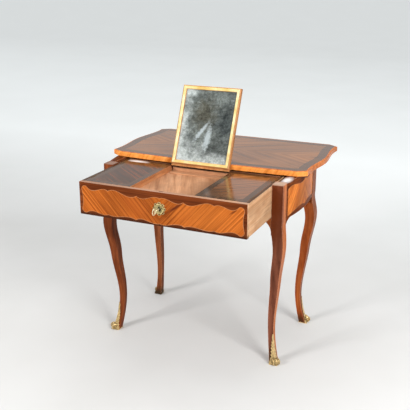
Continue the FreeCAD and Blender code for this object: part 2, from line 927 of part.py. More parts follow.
def mirror_frame_members():
    # Four members, mitred at the corners
    ring = mirror_frame_ring()
    deep = 3 * frame_width
    x, low, high = frame_half, frame_low, frame_high

    def wedge(points):
        front = [V(px, -mirror_depth - overcut, pz) for px, pz in points]
        return flat(front).extrude(V(0, mirror_depth + 2 * overcut, 0))
    left_points = [(-x, low), (-x, high), (-x + deep, high - deep), (-x + deep, low + deep)]
    wedges = {
        "mirror_frame_bottom": [(-x, low), (x, low), (x - deep, low + deep), (-x + deep, low + deep)],
        "mirror_frame_top": [(-x, high), (x, high), (x - deep, high - deep), (-x + deep, high - deep)],
        "mirror_frame_left": left_points,
        "mirror_frame_right": [(-px, pz) for px, pz in left_points],
    }
    return {name: leaned(ring.common(wedge(points))) for name, points in wedges.items()}


def mirror_foot_rail():
    y0 = axis_y + axis_drop
    y1 = y0 + foot_rail_thickness
    x = well_half - foot_rail_play
    z0 = well_floor_z + slide_clearance
    upright = box(-x, x, y0, y1, z0, axis_z - axis_drop)
    sole = box(-x, x, y1 - foot_rail_length, y1, z0, z0 + foot_rail_sole)
    return without(joined([upright, sole]), mirror_reliefs() + mirror_pockets(fixed=True))


# Assembly

def carcass_nodes():
    blank = leg_blank()
    right_legs = [blank, back_of(blank)]
    rail, veneer = side_rail_and_veneer(right_legs)
    pegs = right_pegs()
    mortises = side_tenons(joint_clearance) + pegs
    mortises += [back_tenon(joint_clearance), front_tenon(joint_clearance)]
    front_leg = without(blank, mortises)
    back_leg = without(back_of(blank), mortises)
    foot_shoe = shoe(blank)
    rail = without(rail, pegs)
    runner = drawer_runner(right_legs)
    return {
        "front_left_leg": left_of(front_leg), "front_right_leg": front_leg,
        "back_left_leg": left_of(back_leg), "back_right_leg": back_leg,
        "front_left_sabot": left_of(foot_shoe), "front_right_sabot": foot_shoe,
        "back_left_sabot": left_of(back_of(foot_shoe)), "back_right_sabot": back_of(foot_shoe),
        "left_side_rail": left_of(rail), "right_side_rail": rail,
        "left_side_veneer": left_of(veneer), "right_side_veneer": veneer,
        "back_rail": back_rail([right_legs[1], left_of(right_legs[1])]),
        "front_rail": front_rail([blank, left_of(blank)]),
        "left_drawer_runner": left_of(runner), "right_drawer_runner": runner,
        "tenon_pegs": Part.Compound(pegs + [left_of(peg) for peg in pegs]),
    }


def top_nodes():
    border, field_left, field_right = top_veneers()
    cleat = top_cleat()
    screws = [cleat_screw(place) for place in cleat_screw_places()]
    return {
        "top_board": top_board(), "top_edge_moulding": edge_moulding(), "top_border": border,
        "top_field_left": field_left, "top_field_right": field_right,
        "left_top_cleat": left_of(cleat), "right_top_cleat": cleat,
        "cleat_screws": Part.Compound(screws + [left_of(screw) for screw in screws]),
        "strike_plate": strike_plate_blank().cut(box(*strike_slot())),
    }


def drawer_nodes():
    side = drawer_side()
    wall = partition()
    veneer = front_veneer()
    leaves = lid_leaves(fixed=True)
    pins = lid_pins()
    hardware = leaves + pins
    return {
        "drawer_front": drawer_front(),
        "drawer_front_veneer_left": left_of(veneer), "drawer_front_veneer_right": veneer,
        "drawer_left_side": left_of(side), "drawer_right_side": side,
        "drawer_back": drawer_back(), "drawer_bottom": bottom_panel(),
        "left_partition": left_of(wall), "right_partition": wall,
        "drawer_cross_rail": cross_rail(), "well_floor": well_floor(), "rear_deck": rear_deck(),
        "left_lid_rest": left_of(lid_rest()), "right_lid_rest": lid_rest(),
        "lid_hinges_fixed": Part.Compound(hardware + [left_of(piece) for piece in hardware]),
        "escutcheon": escutcheon(), "lock_case": lock_case(), "lock_bolt": lock_bolt(), "key": key(),
    }


def lid_nodes():
    moving = Part.Compound(lid_leaves(fixed=False))
    return {
        "left_lid": left_of(lid()), "right_lid": lid(),
        "left_lid_veneer": left_of(lid_field()), "right_lid_veneer": lid_field(),
        "left_lid_leaves": left_of(moving), "right_lid_leaves": moving,
    }


def mirror_nodes():
    hinge = mirror_hinge_line()
    places = mirror_hinge_places()
    fixed = [hinge.leaf(place, True) for place in places] + [hinge.pin(place) for place in places]
    nodes = {
        "mirror_backboard": mirror_board(), "mirror_glass": leaned(glass_box(0)),
        "mirror_foot_rail": mirror_foot_rail(),
        "mirror_hinges_fixed": Part.Compound(fixed),
        "mirror_leaves": Part.Compound([hinge.leaf(place, False) for place in places]),
    }
    nodes.update(mirror_frame_members())
    return nodes


def main():
    os.makedirs("parts", exist_ok=True)
    nodes = {}
    for group in (carcass_nodes(), top_nodes(), drawer_nodes(), lid_nodes(), mirror_nodes()):
        nodes.update(group)
    for name, shape in nodes.items():
        placed = shape.translated(frame_shift)
        placed.exportStep(os.path.join("parts", name + ".step"))
    print(len(nodes), "nodes")


main()
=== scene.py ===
import bpy
import json
import math
from mathutils import Matrix, Vector

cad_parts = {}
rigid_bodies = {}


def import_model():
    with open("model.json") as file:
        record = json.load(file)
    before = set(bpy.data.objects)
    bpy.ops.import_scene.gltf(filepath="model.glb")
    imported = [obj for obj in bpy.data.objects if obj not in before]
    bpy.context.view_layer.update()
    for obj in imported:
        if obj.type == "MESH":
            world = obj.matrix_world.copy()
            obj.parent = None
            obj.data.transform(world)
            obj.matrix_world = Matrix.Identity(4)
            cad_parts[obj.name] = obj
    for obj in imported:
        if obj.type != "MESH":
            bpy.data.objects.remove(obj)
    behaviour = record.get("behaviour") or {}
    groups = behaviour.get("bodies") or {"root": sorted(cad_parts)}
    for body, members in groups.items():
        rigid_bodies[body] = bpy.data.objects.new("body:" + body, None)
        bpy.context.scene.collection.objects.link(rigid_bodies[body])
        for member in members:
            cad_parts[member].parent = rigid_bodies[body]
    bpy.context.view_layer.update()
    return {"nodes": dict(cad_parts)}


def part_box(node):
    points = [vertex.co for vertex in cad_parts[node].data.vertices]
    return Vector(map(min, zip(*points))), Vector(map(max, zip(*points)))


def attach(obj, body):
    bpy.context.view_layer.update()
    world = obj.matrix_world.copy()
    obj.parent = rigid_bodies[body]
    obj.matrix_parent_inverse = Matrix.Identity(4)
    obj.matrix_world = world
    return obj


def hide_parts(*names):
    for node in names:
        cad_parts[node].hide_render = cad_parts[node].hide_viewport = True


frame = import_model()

# Ladies writing desk: finishes, added stringing, keyhole plate, key and gilt shoes, stage, light, camera.
# Sizes are in metres and angles in degrees. Rows of a profile are typed in millimetres.
millimetre = 0.001


def in_metres(rows):
    return [tuple(value * millimetre for value in row) for row in rows]


# Camera, fitted to the photograph: focal length and middle in its pixels, sensor width in millimetres
camera_place = (1.0920, -2.4153, 1.4047)
camera_yaw = 24.43
camera_pitch = -18.25
camera_sensor = 36.0
photo_side = 410.0
photo_focal = 735.92
photo_middle = (204.5, 205.0)

# Places taken from the frame
front_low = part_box("drawer_front")[0]
plate_low, plate_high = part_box("escutcheon")
key_low, key_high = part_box("key")
glass_low, glass_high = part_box("mirror_glass")
side_low, side_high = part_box("right_side_veneer")
field_low, field_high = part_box("top_field_right")
front_leg_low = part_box("front_right_leg")[0]
back_leg_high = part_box("back_right_leg")[1]

side_middle = (side_low.y + side_high.y) / 2
field_middle = (field_low.y + field_high.y) / 2
legs_middle = (0, (front_leg_low.y + back_leg_high.y) / 2, 0)
keyhole = Vector((0, plate_high.y, (plate_low.z + plate_high.z) / 2))
glass_middle = (glass_low + glass_high) / 2

# Mirror: its lean, and half the width and height of its frame
mirror_lean = 22.9
frame_half = (0.115, 0.148)

# Slant of the stripes and of the grain
front_slant = 48.0
side_slant = -52.0
top_slant = 30.0
lid_slant = 40.0
edge_slant = 60.0
well_slant = 65.0

# Turns that lay the grain along X, Y or Z
along_x = (0, 0, 0)
along_y = (0, 0, 90)
along_z = (0, 90, 0)

# Turns, in radians, that lay the axis of a new piece along X or Y, or face a shoe to its outer corner
axis_along_x = (0, math.radians(90), 0)
axis_along_y = (math.radians(90), 0, 0)
corner_turn = math.radians(45)

# Stringing, a pale line let into the veneer; it leaves out the join where two leaves meet
stringing_radius = 0.65 * millimetre
stringing_flat = 0.22
front_join = 0.02 * millimetre
side_stringing_radius = 0.5 * millimetre
side_join = 0.1 * millimetre

# Keyhole plate. Rows of its rings: inset, shift along Y. The last three stretch a scroll and a bead.
plate_radius = 15.5 * millimetre
plate_thickness = 1.6 * millimetre
plate_lobes = 8
lobe_from = 0.3
lobe_out = 1.13
dip_from = -0.5
dip_in = 0.92
plate_rings = in_metres(((2.2, -1.0), (1.6, 0.5), (2.0, -0.2), (1.4, -0.9), (1.4, 0.3)))
hole_radius = 3.3 * millimetre
hole_slot = 3.4 * millimetre
hole_drop = 9.0 * millimetre
drill_length = 20.0 * millimetre
scroll_ring = 19.0 * millimetre
scroll_radius = 4.2 * millimetre
scroll_wire = 1.25 * millimetre
scroll_gap = 2.0 * millimetre
bead_ring = 14.2 * millimetre
bead_radius = 1.5 * millimetre
bead_lift = 0.6 * millimetre
scroll_back = (0.8, 1.35, 1.15)
scroll_ends = (1, 0.7, 0.6)
bead_tail = (2.4, 0.7, 0.75)

# Key. Rows of its shaft: distance behind the bow, radius. Rows of its tip: distance from the end, radius.
bow_radius = 10.2 * millimetre
bow_wire = 1.7 * millimetre
bow_middle = key_low.y + bow_radius + bow_wire
bow_swell_from = 0.75 * bow_radius
bow_swell = (1.25, 1, 1.0)
bow_scroll = 3.9 * millimetre
bow_scroll_wire = 1.0 * millimetre
bow_scroll_back = 0.28 * bow_radius
bow_scroll_out = bow_radius - bow_scroll - 0.5 * bow_wire
bow_scroll_ends = (0.8, 0.8, 0.85)
shaft_rows = in_metres(((-0.6, 2.0), (0.8, 3.4), (1.8, 3.4), (2.4, 2.6), (3.4, 3.9), (4.6, 3.9), (5.6, 2.3),
                        (11.0, 2.2), (11.8, 2.9), (12.8, 2.9), (13.6, 2.3)))
tip_rows = in_metres(((-0.5, 2.3), (0.0, 1.7)))
bit_thickness = 2.2 * millimetre
bit_length = 7.0 * millimetre
bit_drop = 10.0 * millimetre
bit_inset = 0.5 * millimetre
bit_bevel = 0.4 * millimetre

# Gilt shoes, from the middle of the front right foot. Rows of the leaf: height, half width.
# Rows of the skirt: height, half width, shift towards the outer corner.
# Rows of the toe, from its middle to one end: place, radius. Rows of its volute: inset, shift outwards.
foot = Vector((0.333, -0.12565, 0.0))
outward = Vector((1, -1, 0)).normalized()
leaf_rows = in_metres(((3, 17.0), (9, 17.6), (15, 13.4), (22, 16.0), (28, 8.4), (34, 14.2), (40, 6.8),
                       (46, 12.8), (52, 5.6), (58, 11.2), (64, 4.6), (70, 9.6), (76, 4.0), (82, 7.0),
                       (88, 3.2), (95, 4.2), (106, 3.6), (115, 1.2)))
leaf_columns = 5
leaf_start = 0.06
leaf_wall = 1.3 * millimetre
leaf_lift = 0.9 * millimetre
level_within = 0.01 * millimetre
toe_top = 11.0 * millimetre
toe_lift = 3.4 * millimetre
rib_half = 0.1 * millimetre
rib_lift = 3.0 * millimetre
vein_from = 0.3
vein_lift = 3.2 * millimetre
tooth_from = 0.9
tooth_lift = 0.6 * vein_lift
skirt_pleats = 9
pleat_from = 0.5
pleat_out = 1.06
pleat_in = 0.95
skirt_rows = in_metres(((0.1, 16.0, 3.0), (1.8, 16.4, 3.2), (4.0, 15.4, 2.2), (8.0, 14.6, 1.0),
                        (11.0, 14.5, 0.4), (12.5, 14.1, 0.2)))
half_toe = in_metres(((2.0, 12.2), (3.6, 10.0), (5.0, 12.0), (7.0, 12.0), (8.4, 10.2), (9.8, 12.2),
                      (11.6, 12.2), (13.0, 10.2)))
toe_volute = in_metres(((1.4, -1.2), (1.2, 1.4), (2.0, -1.4), (1.6, 2.4)))
toe_out = 14.5 * millimetre
toe_height = 12.4 * millimetre

# Depths of the surface patterns, width of the pale wooden edges and of the rubbed gilt edges, reach of the
# hollows
pore_depth = 0.012 * millimetre
fibre_depth = 0.1 * millimetre
cast_depth = 0.2 * millimetre
gold_leaf_depth = 0.25 * millimetre
rust_depth = 0.3 * millimetre
silver_depth = 0.05 * millimetre
wood_pale_edge_width = 1.3 * millimetre
gilt_wear = 0.6 * millimetre
hollow_reach = 7.0 * millimetre

# Distances within which points are merged, on a copied veneer and on a new piece
veneer_merge = 0.001 * millimetre
skin_merge = 0.005 * millimetre

# Stage: paper on the floor that lightens into a pale wall. Rows of its glow: share of the way out, strength.
paper_side = 120.0
room_half = 2.5
wall_start = -0.5
wall_end = 9.5
wall_glow = ((0.0, 0.0), (0.12, 0.1), (0.2, 0.27), (0.33, 0.51), (0.55, 0.5), (1.0, 0.4))

# Soft lamps: place, aim, side, power, and whether polish reflects them
lamps = {
    "right_window": ((2.6, -1.8, 2.2), (0.1, 0, 0.5), 1.3, 88, True),
    "left_window": ((-1.7, -2.9, 1.9), (0, 0, 0.4), 0.9, 72, False),
    "ceiling": ((0, 0.4, 3.4), (0, 0.1, 0.5), 2.6, 34, True),
}

# Light of the air: on the desk, behind it for the camera, and in reflections from the room to the wall
air_light = 0.45
backdrop_light = 0.8
room_light = ((0.15, 0.22), (0.75, 0.8))

# Tones of the woods and of the gilded frame: dark, middle, light
stripe_tones = ((0.19, 0.034, 0.006), (0.56, 0.134, 0.019), (0.8, 0.225, 0.036))
side_tones = ((0.38, 0.088, 0.015), (0.76, 0.205, 0.034), (0.97, 0.325, 0.062))
top_tones = ((0.23, 0.09, 0.031), (0.34, 0.136, 0.046), (0.44, 0.185, 0.065))
lid_tones = ((0.17, 0.06, 0.019), (0.28, 0.1, 0.031), (0.38, 0.15, 0.05))
left_lid_tones = ((0.05, 0.024, 0.012), (0.1, 0.041, 0.018), (0.24, 0.066, 0.022))
border_tones = ((0.085, 0.018, 0.004), (0.17, 0.038, 0.009), (0.25, 0.064, 0.016))
top_border_tones = ((0.09, 0.04, 0.02), (0.15, 0.07, 0.034), (0.2, 0.095, 0.045))
lid_border_tones = ((0.06, 0.028, 0.013), (0.1, 0.045, 0.019), (0.15, 0.064, 0.027))
leg_tones = ((0.18, 0.038, 0.009), (0.32, 0.08, 0.018), (0.45, 0.125, 0.032))
far_leg_tones = ((0.17, 0.042, 0.014), (0.3, 0.084, 0.03), (0.42, 0.13, 0.05))
# Tones of the front left leg, darkened all round: painted shade
shaded_leg_tones = ((0.13, 0.029, 0.009), (0.235, 0.057, 0.017), (0.33, 0.092, 0.03))
# Front faces of the front right leg, darker: painted shade; the lit tones below paint its sides lighter, as
# lit from the right
shaded_front_leg_tones = ((0.1, 0.03, 0.016), (0.18, 0.056, 0.03), (0.26, 0.085, 0.045))
lit_leg_tones = ((0.4, 0.095, 0.02), (0.62, 0.165, 0.034), (0.78, 0.24, 0.056))
bright_leg_tones = ((0.22, 0.043, 0.01), (0.35, 0.077, 0.018), (0.46, 0.118, 0.03))
edge_tones = ((0.72, 0.21, 0.034), (0.95, 0.33, 0.066), (0.99, 0.42, 0.11))
# Sides of the top's moulding, darker than its front: painted shade
shaded_edge_tones = ((0.5, 0.13, 0.03), (0.68, 0.2, 0.05), (0.78, 0.27, 0.08))
oak_tones = ((0.58, 0.3, 0.145), (0.8, 0.46, 0.25), (0.92, 0.58, 0.35))
well_tones = ((0.4, 0.175, 0.08), (0.62, 0.31, 0.16), (0.75, 0.41, 0.235))
inner_tones = ((0.4, 0.15, 0.055), (0.58, 0.245, 0.1), (0.72, 0.35, 0.165))
# Upper face of the drawer front, paler: a painted sheen
front_top_sheen_tones = ((0.44, 0.22, 0.13), (0.57, 0.32, 0.2), (0.67, 0.4, 0.27))
hidden_tones = ((0.24, 0.12, 0.055), (0.36, 0.2, 0.1), (0.46, 0.28, 0.15))
mirror_board_tones = ((0.4, 0.16, 0.055), (0.58, 0.25, 0.085), (0.7, 0.34, 0.13))
cross_rail_tones = ((0.2, 0.075, 0.035), (0.32, 0.135, 0.065), (0.42, 0.2, 0.1))
stringing_tones = ((0.4, 0.15, 0.05), (0.54, 0.22, 0.085), (0.64, 0.29, 0.13))
level_gilt_tones = ((0.8, 0.55, 0.18), (0.9, 0.68, 0.26), (0.94, 0.78, 0.4))
upright_gilt_tones = ((0.84, 0.66, 0.26), (0.92, 0.8, 0.4), (0.95, 0.88, 0.58))

# Tones of the mounts: in the hollows, on the open faces
shoe_gilt_tones = ((0.1, 0.058, 0.012), (0.95, 0.68, 0.31))
plate_gilt_tones = ((0.14, 0.1, 0.025), (0.85, 0.7, 0.32))
key_gilt_tones = ((0.3, 0.22, 0.07), (0.95, 0.84, 0.54))
brass_tones = ((0.07, 0.04, 0.018), (0.2, 0.13, 0.06))

# Tones of wear and of the pale wooden edges, which also paint a highlight, iron, silvering and its painted
# reflections, and paper
# Pale tone of sharp wooden edges: wear, and a painted highlight on the rounded arris
worn_edge = (0.78, 0.38, 0.21)
soiled_wood = (0.84, 0.76, 0.7)
gilt_ground_tones = ((0.5, 0.24, 0.1), (0.94, 0.8, 0.55), (1.0, 1.0, 1.0))
gilt_rim = (0.36, 0.13, 0.035)
frame_side = (0.62, 0.27, 0.09)
iron_tones = ((0.05, 0.045, 0.04), (0.19, 0.18, 0.17), (0.2, 0.11, 0.06))
silver_tones = ((0.15, 0.17, 0.155), (0.29, 0.33, 0.31), (0.46, 0.51, 0.49))
haze_tones = ((0.26, 0.3, 0.29), (0.46, 0.51, 0.5), (0.66, 0.72, 0.71))
brown_spot = (0.4, 0.33, 0.25)
reflection_white = (0.72, 0.82, 0.84)
paper_tones = ((0.67, 0.67, 0.655), (0.72, 0.72, 0.71))
wall_tint = (0.91, 0.98, 1.0)
air_tint = (0.98, 0.98, 0.98)

# Marks in the silvering, across and up the glass from its middle. Dark patches: middle, half sizes, tint.
# White clouds: middle, half sizes; they are lost silvering, and at the lower left also a painted glare of a
# lamp. Pale streaks, painted reflections: middle, half sizes, slant.
dark_patches = (
    ((0.073, 0.015), (0.05, 0.1), (0.26, 0.28, 0.3)),
    ((-0.014, 0.045), (0.065, 0.08), (0.58, 0.5, 0.4)),
    ((0.05, -0.085), (0.06, 0.035), (0.55, 0.55, 0.55)),
)
white_clouds = (
    ((-0.1, -0.15), (0.15, 0.13)),
    ((-0.115, -0.02), (0.06, 0.19)),
    ((0.03, -0.155), (0.2, 0.07)),
    ((-0.095, 0.125), (0.06, 0.028)),
)
reflection_streaks = (
    ((-0.016, -0.02), (0.0095, 0.052), -33.4),
    ((0.0115, -0.0445), (0.015, 0.056), -5.0),
)


def mark(middle, half_sizes, depth, tone, slant=0.0):
    # A soft oval mark on a finish
    return middle, half_sizes, depth, tone, slant


# Marks on the woods and mounts: stains and figure, painted shade and shadow, painted glare and sheen on
# polished tops, and darker patches
stain_tone = (0.11, 0.022, 0.007)
# White of the painted glare on polished tops
glare_tone = (0.86, 0.85, 0.84)
shade_tone = (0.07, 0.034, 0.015)
front_stains = (
    mark((-0.09, front_low.y, 0.628), (0.12, 0.05, 0.05), 0.35, (0.34, 0.074, 0.013), -40.0),
    mark((0.18, front_low.y, 0.625), (0.17, 0.05, 0.09), 0.2, (0.86, 0.255, 0.042)),
    mark((0.058, front_low.y, 0.64), (0.05, 0.05, 0.007), 0.95, stain_tone, 36.0),
    mark((0.265, front_low.y, 0.654), (0.02, 0.05, 0.0045), 0.8, stain_tone, 34.0),
)
# Painted shade along the bottom of the drawer front
front_bottom_shade = (mark((0.0, front_low.y, front_low.z), (1.2, 0.05, 0.017), 0.85, (0.045, 0.014, 0.006)),)
# Painted glare: a white patch at the rear of the left lid
lid_glare = (mark((-0.258, -0.053, 0.686), (0.06, 0.02, 0.03), 0.95, glare_tone),)
lid_shade = (
    mark((0.15, -0.31, 0.686), (0.09, 0.11, 0.05), 0.6, shade_tone),
    mark((0.23, -0.34, 0.686), (0.12, 0.06, 0.05), 0.4, shade_tone),
)
well_shade = (mark((0.15, -0.2, 0.664), (0.15, 0.35, 0.1), 0.85, (0.25, 0.115, 0.055)),)
oak_figure = (
    mark((0.312, -0.275, 0.632), (0.05, 0.045, 0.028), 0.5, (0.4, 0.19, 0.085)),
    mark((0.312, -0.31, 0.615), (0.05, 0.03, 0.02), 0.4, (0.45, 0.23, 0.11)),
)
# Painted glare: a white patch on the top of the right side rail
rail_glare = (mark((0.343, -0.075, 0.69), (0.024, 0.055, 0.008), 0.85, glare_tone),)
# A darker line painted along the back edge of the top
back_edge_darkening = (mark((0.0, 0.425, 0.71), (0.8, 0.032, 0.05), 0.9, (0.3, 0.09, 0.016)),)
# Painted shadow: a dark line along the foot rail under the mirror frame
foot_rail_shadow_line = (mark((0.0, -0.048, 0.684), (0.4, 0.03, 0.0085), 1.0, (0.012, 0.008, 0.006)),)
# Painted shade: the foot of the back left leg and its shoe are darkened, so that the gilt there shows dark
far_foot_shade = (mark((-0.333, 0.236, 0.0), (0.09, 0.09, 0.056), 0.97, (0.045, 0.028, 0.014)),)
far_shoe_shade = (mark((-0.335, 0.213, 0.0), (0.065, 0.046, 0.065), 0.97, (0.03, 0.02, 0.011)),)
# Darker at the foot of the back right leg
back_foot_darkening = (mark((0.322, 0.225, 0.0), (0.05, 0.06, 0.062), 0.9, (0.06, 0.024, 0.01)),)
# Front right leg: darker at the foot and high on the front; its top is painted pale, a painted sheen
near_leg_darkening_and_top_sheen = (
    mark((0.322, -0.14, 0.0), (0.05, 0.05, 0.115), 0.9, (0.05, 0.022, 0.01)),
    mark((0.32, -0.15, 0.6), (0.06, 0.03, 0.2), 0.95, (0.125, 0.027, 0.007)),
    mark((0.333, -0.126, 0.692), (0.07, 0.07, 0.006), 0.9, (0.5, 0.37, 0.28)),
)
# Front left leg: its top is painted pale, a painted sheen
left_leg_top_sheen = (mark((-0.333, -0.126, 0.692), (0.07, 0.07, 0.006), 0.9, (0.3, 0.18, 0.13)),)
# Painted shade over the dished middle of the keyhole plate
plate_hollow_shade = (mark(keyhole, (0.0115, 0.05, 0.0115), 0.92, (0.02, 0.014, 0.006)),)


# Node helpers. The holder is a material or the world.

def fresh_node(holder, kind):
    return holder.node_tree.nodes.new(kind)


def linked(holder, source, target):
    holder.node_tree.links.new(source, target)


def feed(holder, socket, value):
    # A number or a tone is set on the socket, an output is linked to it
    if isinstance(value, float):
        socket.default_value = value
    elif isinstance(value, tuple):
        socket.default_value = (*value, 1.0)
    else:
        linked(holder, value, socket)


def fresh_material(name):
    material = bpy.data.materials.new(name)
    material.use_nodes = True
    material.node_tree.nodes.clear()
    shader = fresh_node(material, "ShaderNodeBsdfPrincipled")
    output = fresh_node(material, "ShaderNodeOutputMaterial")
    linked(material, shader.outputs["BSDF"], output.inputs["Surface"])
    return material, shader


def set_finish(material, shader, values):
    for name, value in values.items():
        feed(material, shader.inputs[name], value)


def reckoned(holder, kind, first, second=0.0):
    node = fresh_node(holder, "ShaderNodeMath")
    node.operation = kind
    feed(holder, node.inputs[0], first)
    feed(holder, node.inputs[1], second)
    return node.outputs["Value"]


def split(holder, vector):
    node = fresh_node(holder, "ShaderNodeSeparateXYZ")
    linked(holder, vector, node.inputs["Vector"])
    return node.outputs


def beyond(holder, value, distance):
    # How far a value lies past a distance on either side of zero
    return reckoned(holder, "SUBTRACT", reckoned(holder, "ABSOLUTE", value), distance)


def book_match(holder, vector, fold):
    # Folds the pattern about each named plane, as two leaves of one veneer are opened
    parts = split(holder, vector)
    whole = fresh_node(holder, "ShaderNodeCombineXYZ")
    for axis in "XYZ":
        value = parts[axis]
        if axis in fold:
            value = reckoned(holder, "ABSOLUTE", reckoned(holder, "SUBTRACT", value, fold[axis]))
        linked(holder, value, whole.inputs[axis])
    return whole.outputs["Vector"]


def mapped(holder, vector, turn=(0, 0, 0), stretch=(1, 1, 1), shift=(0, 0, 0)):
    node = fresh_node(holder, "ShaderNodeMapping")
    node.inputs["Rotation"].default_value = [math.radians(angle) for angle in turn]
    node.inputs["Scale"].default_value = stretch
    node.inputs["Location"].default_value = shift
    linked(holder, vector, node.inputs["Vector"])
    return node.outputs["Vector"]


def on_piece(holder, turn=(0, 0, 0), fold=None, shift=(0, 0, 0)):
    vector = fresh_node(holder, "ShaderNodeTexCoord").outputs["Object"]
    if fold:
        vector = book_match(holder, vector, fold)
    return mapped(holder, vector, turn, shift=shift)


def noise(holder, vector, stretch, detail, roughness=0.55, distortion=0.0):
    node = fresh_node(holder, "ShaderNodeTexNoise")
    node.inputs["Scale"].default_value = 1.0
    node.inputs["Detail"].default_value = detail
    node.inputs["Roughness"].default_value = roughness
    node.inputs["Distortion"].default_value = distortion
    linked(holder, mapped(holder, vector, stretch=stretch), node.inputs["Vector"])
    return node.outputs["Fac"]


def grain(along, across):
    # Scale of a noise that is drawn out along the grain
    return (along, across, across)


def even(scale):
    return (scale, scale, scale)


def grey(level):
    return (level, level, level)


def ramp(holder, value, stops):
    node = fresh_node(holder, "ShaderNodeValToRGB")
    elements = node.color_ramp.elements
    while len(elements) < len(stops):
        elements.new(0.5)
    for element, (place, colour) in zip(elements, stops):
        element.position = place
        element.color = (*colour, 1.0)
    linked(holder, value, node.inputs["Fac"])
    return node.outputs["Color"]


def toned(holder, value, places, tones):
    return ramp(holder, value, list(zip(places, tones)))


def fade(holder, value, *stops):
    return ramp(holder, value, [(place, grey(level)) for place, level in stops])


def mixed(holder, first, second, share, blend="MIX"):
    node = fresh_node(holder, "ShaderNodeMix")
    node.data_type = "RGBA"
    node.blend_type = blend
    feed(holder, node.inputs["Factor"], share)
    # Sockets 6 and 7 take the two colours, and output 2 gives their mixture
    feed(holder, node.inputs[6], first)
    feed(holder, node.inputs[7], second)
    return node.outputs[2]


def darkened(holder, colour, shade, share=1.0):
    return mixed(holder, colour, shade, share, "MULTIPLY")


def span(holder, value, low, high):
    node = fresh_node(holder, "ShaderNodeMapRange")
    node.inputs["To Min"].default_value = low
    node.inputs["To Max"].default_value = high
    linked(holder, value, node.inputs["Value"])
    return node.outputs["Result"]


def patch(holder, vector, middle, half_sizes, slant, ragged, drifting):
    # A soft oval with a ragged rim: 1 at its middle and 0 outside
    placed = mapped(holder, vector, shift=[-place for place in middle])
    turned = mapped(holder, placed, (0, slant, 0))
    sized = mapped(holder, turned, stretch=[1 / half for half in half_sizes])
    drift = fresh_node(holder, "ShaderNodeTexNoise")
    drift.inputs["Scale"].default_value = ragged
    drift.inputs["Detail"].default_value = 6.0
    linked(holder, vector, drift.inputs["Vector"])
    drifted = mixed(holder, sized, drift.outputs["Color"], drifting, "LINEAR_LIGHT")
    node = fresh_node(holder, "ShaderNodeTexGradient")
    node.gradient_type = "SPHERICAL"
    linked(holder, drifted, node.inputs["Vector"])
    return node.outputs["Fac"]


def bump(material, shader, height, depth, strength):
    node = fresh_node(material, "ShaderNodeBump")
    node.inputs["Strength"].default_value = strength
    node.inputs["Distance"].default_value = depth
    linked(material, height, node.inputs["Height"])
    linked(material, node.outputs["Normal"], shader.inputs["Normal"])


# Finishes. The grain runs along the turned X axis of a piece.

def wood_figure(material, place, tones, stripe, lines, streak):
    bands = noise(material, place, grain(2.2, stripe), detail=3.0, roughness=0.6, distortion=0.15)
    threads = noise(material, place, grain(4.0, 3.6 * stripe), detail=3.0, roughness=0.7)
    clouds = noise(material, place, grain(3.0, 10.0), detail=3.0)
    colour = toned(material, bands, (0.3, 0.5, 0.7), tones)
    colour = darkened(material, colour, fade(material, clouds, (0.32, 1 - streak), (0.68, 1.0)))
    colour = darkened(material, colour, fade(material, threads, (0.34, 1 - lines), (0.5, 1.0)))
    return colour, clouds


def pores(material, shader, place):
    fibres = noise(material, place, grain(16.0, 1300.0), detail=2.0)
    bump(material, shader, fibres, pore_depth, strength=0.5)
    return fibres


def sharp_edge_mask(material, radius):
    # 1 along the sharp edges of a piece, 0 on its faces
    rounded = fresh_node(material, "ShaderNodeBevel")
    rounded.samples = 6
    rounded.inputs["Radius"].default_value = radius
    flat = fresh_node(material, "ShaderNodeNewGeometry")
    likeness = fresh_node(material, "ShaderNodeVectorMath")
    likeness.operation = "DOT_PRODUCT"
    linked(material, rounded.outputs["Normal"], likeness.inputs[0])
    linked(material, flat.outputs["Normal"], likeness.inputs[1])
    return fade(material, likeness.outputs["Value"], (0.86, 1.0), (0.985, 0.0))


def hollows(material):
    # 1 in the hollows of a piece, 0 on its open faces
    node = fresh_node(material, "ShaderNodeAmbientOcclusion")
    node.samples = 8
    node.only_local = True
    node.inputs["Distance"].default_value = hollow_reach
    return fade(material, node.outputs["AO"], (0.5, 1.0), (0.92, 0.0))


def facing(material, axis, sign=1.0):
    # 1 on the faces that look along the axis, 0 on the others
    normal = fresh_node(material, "ShaderNodeTexCoord").outputs["Normal"]
    value = reckoned(material, "MULTIPLY", split(material, normal)[axis], sign)
    return fade(material, value, (0.6, 0.0), (0.75, 1.0))


def marked(material, colour, marks):
    # Lays each mark over the colour, at its place on the desk
    place = on_piece(material)
    for middle, half_sizes, depth, tone, slant in marks:
        oval = patch(material, place, middle, half_sizes, slant, ragged=60.0, drifting=0.16)
        colour = mixed(material, colour, tone, fade(material, oval, (0.1, 0.0), (0.7, depth)))
    return colour


def polished_wood(name, tones, turn=along_x, fold=None, stripe=90.0, lines=0.35, streak=0.3, gloss=0.26,
                  sheen=0.04, worn=None, marks=(), front_tones=None):
    # The front may have tones of its own, which on the moulding and the front right leg paint the light and
    # shade falling on front and sides, and sharp edges a pale one, wear with a painted highlight
    material, shader = fresh_material(name)
    place = on_piece(material, turn, fold)
    colour, clouds = wood_figure(material, place, tones, stripe, lines, streak)
    fibres = pores(material, shader, place)
    colour = darkened(material, colour, fade(material, fibres, (0.34, 0.74), (0.6, 1.0)), 0.6)
    if front_tones:
        front, _ = wood_figure(material, place, front_tones, stripe, lines, streak)
        colour = mixed(material, colour, front, facing(material, "Y", -1.0))
    colour = marked(material, colour, marks)
    if worn:
        colour = mixed(material, colour, worn, sharp_edge_mask(material, wood_pale_edge_width))
    set_finish(material, shader, {
        "Base Color": colour,
        "Roughness": span(material, clouds, gloss - 0.08, gloss + 0.12),
        "Specular IOR Level": sheen,
    })
    return material


def leg_wood(name, tones, **details):
    return polished_wood(name, tones, along_z, stripe=70.0, lines=0.3, **details)


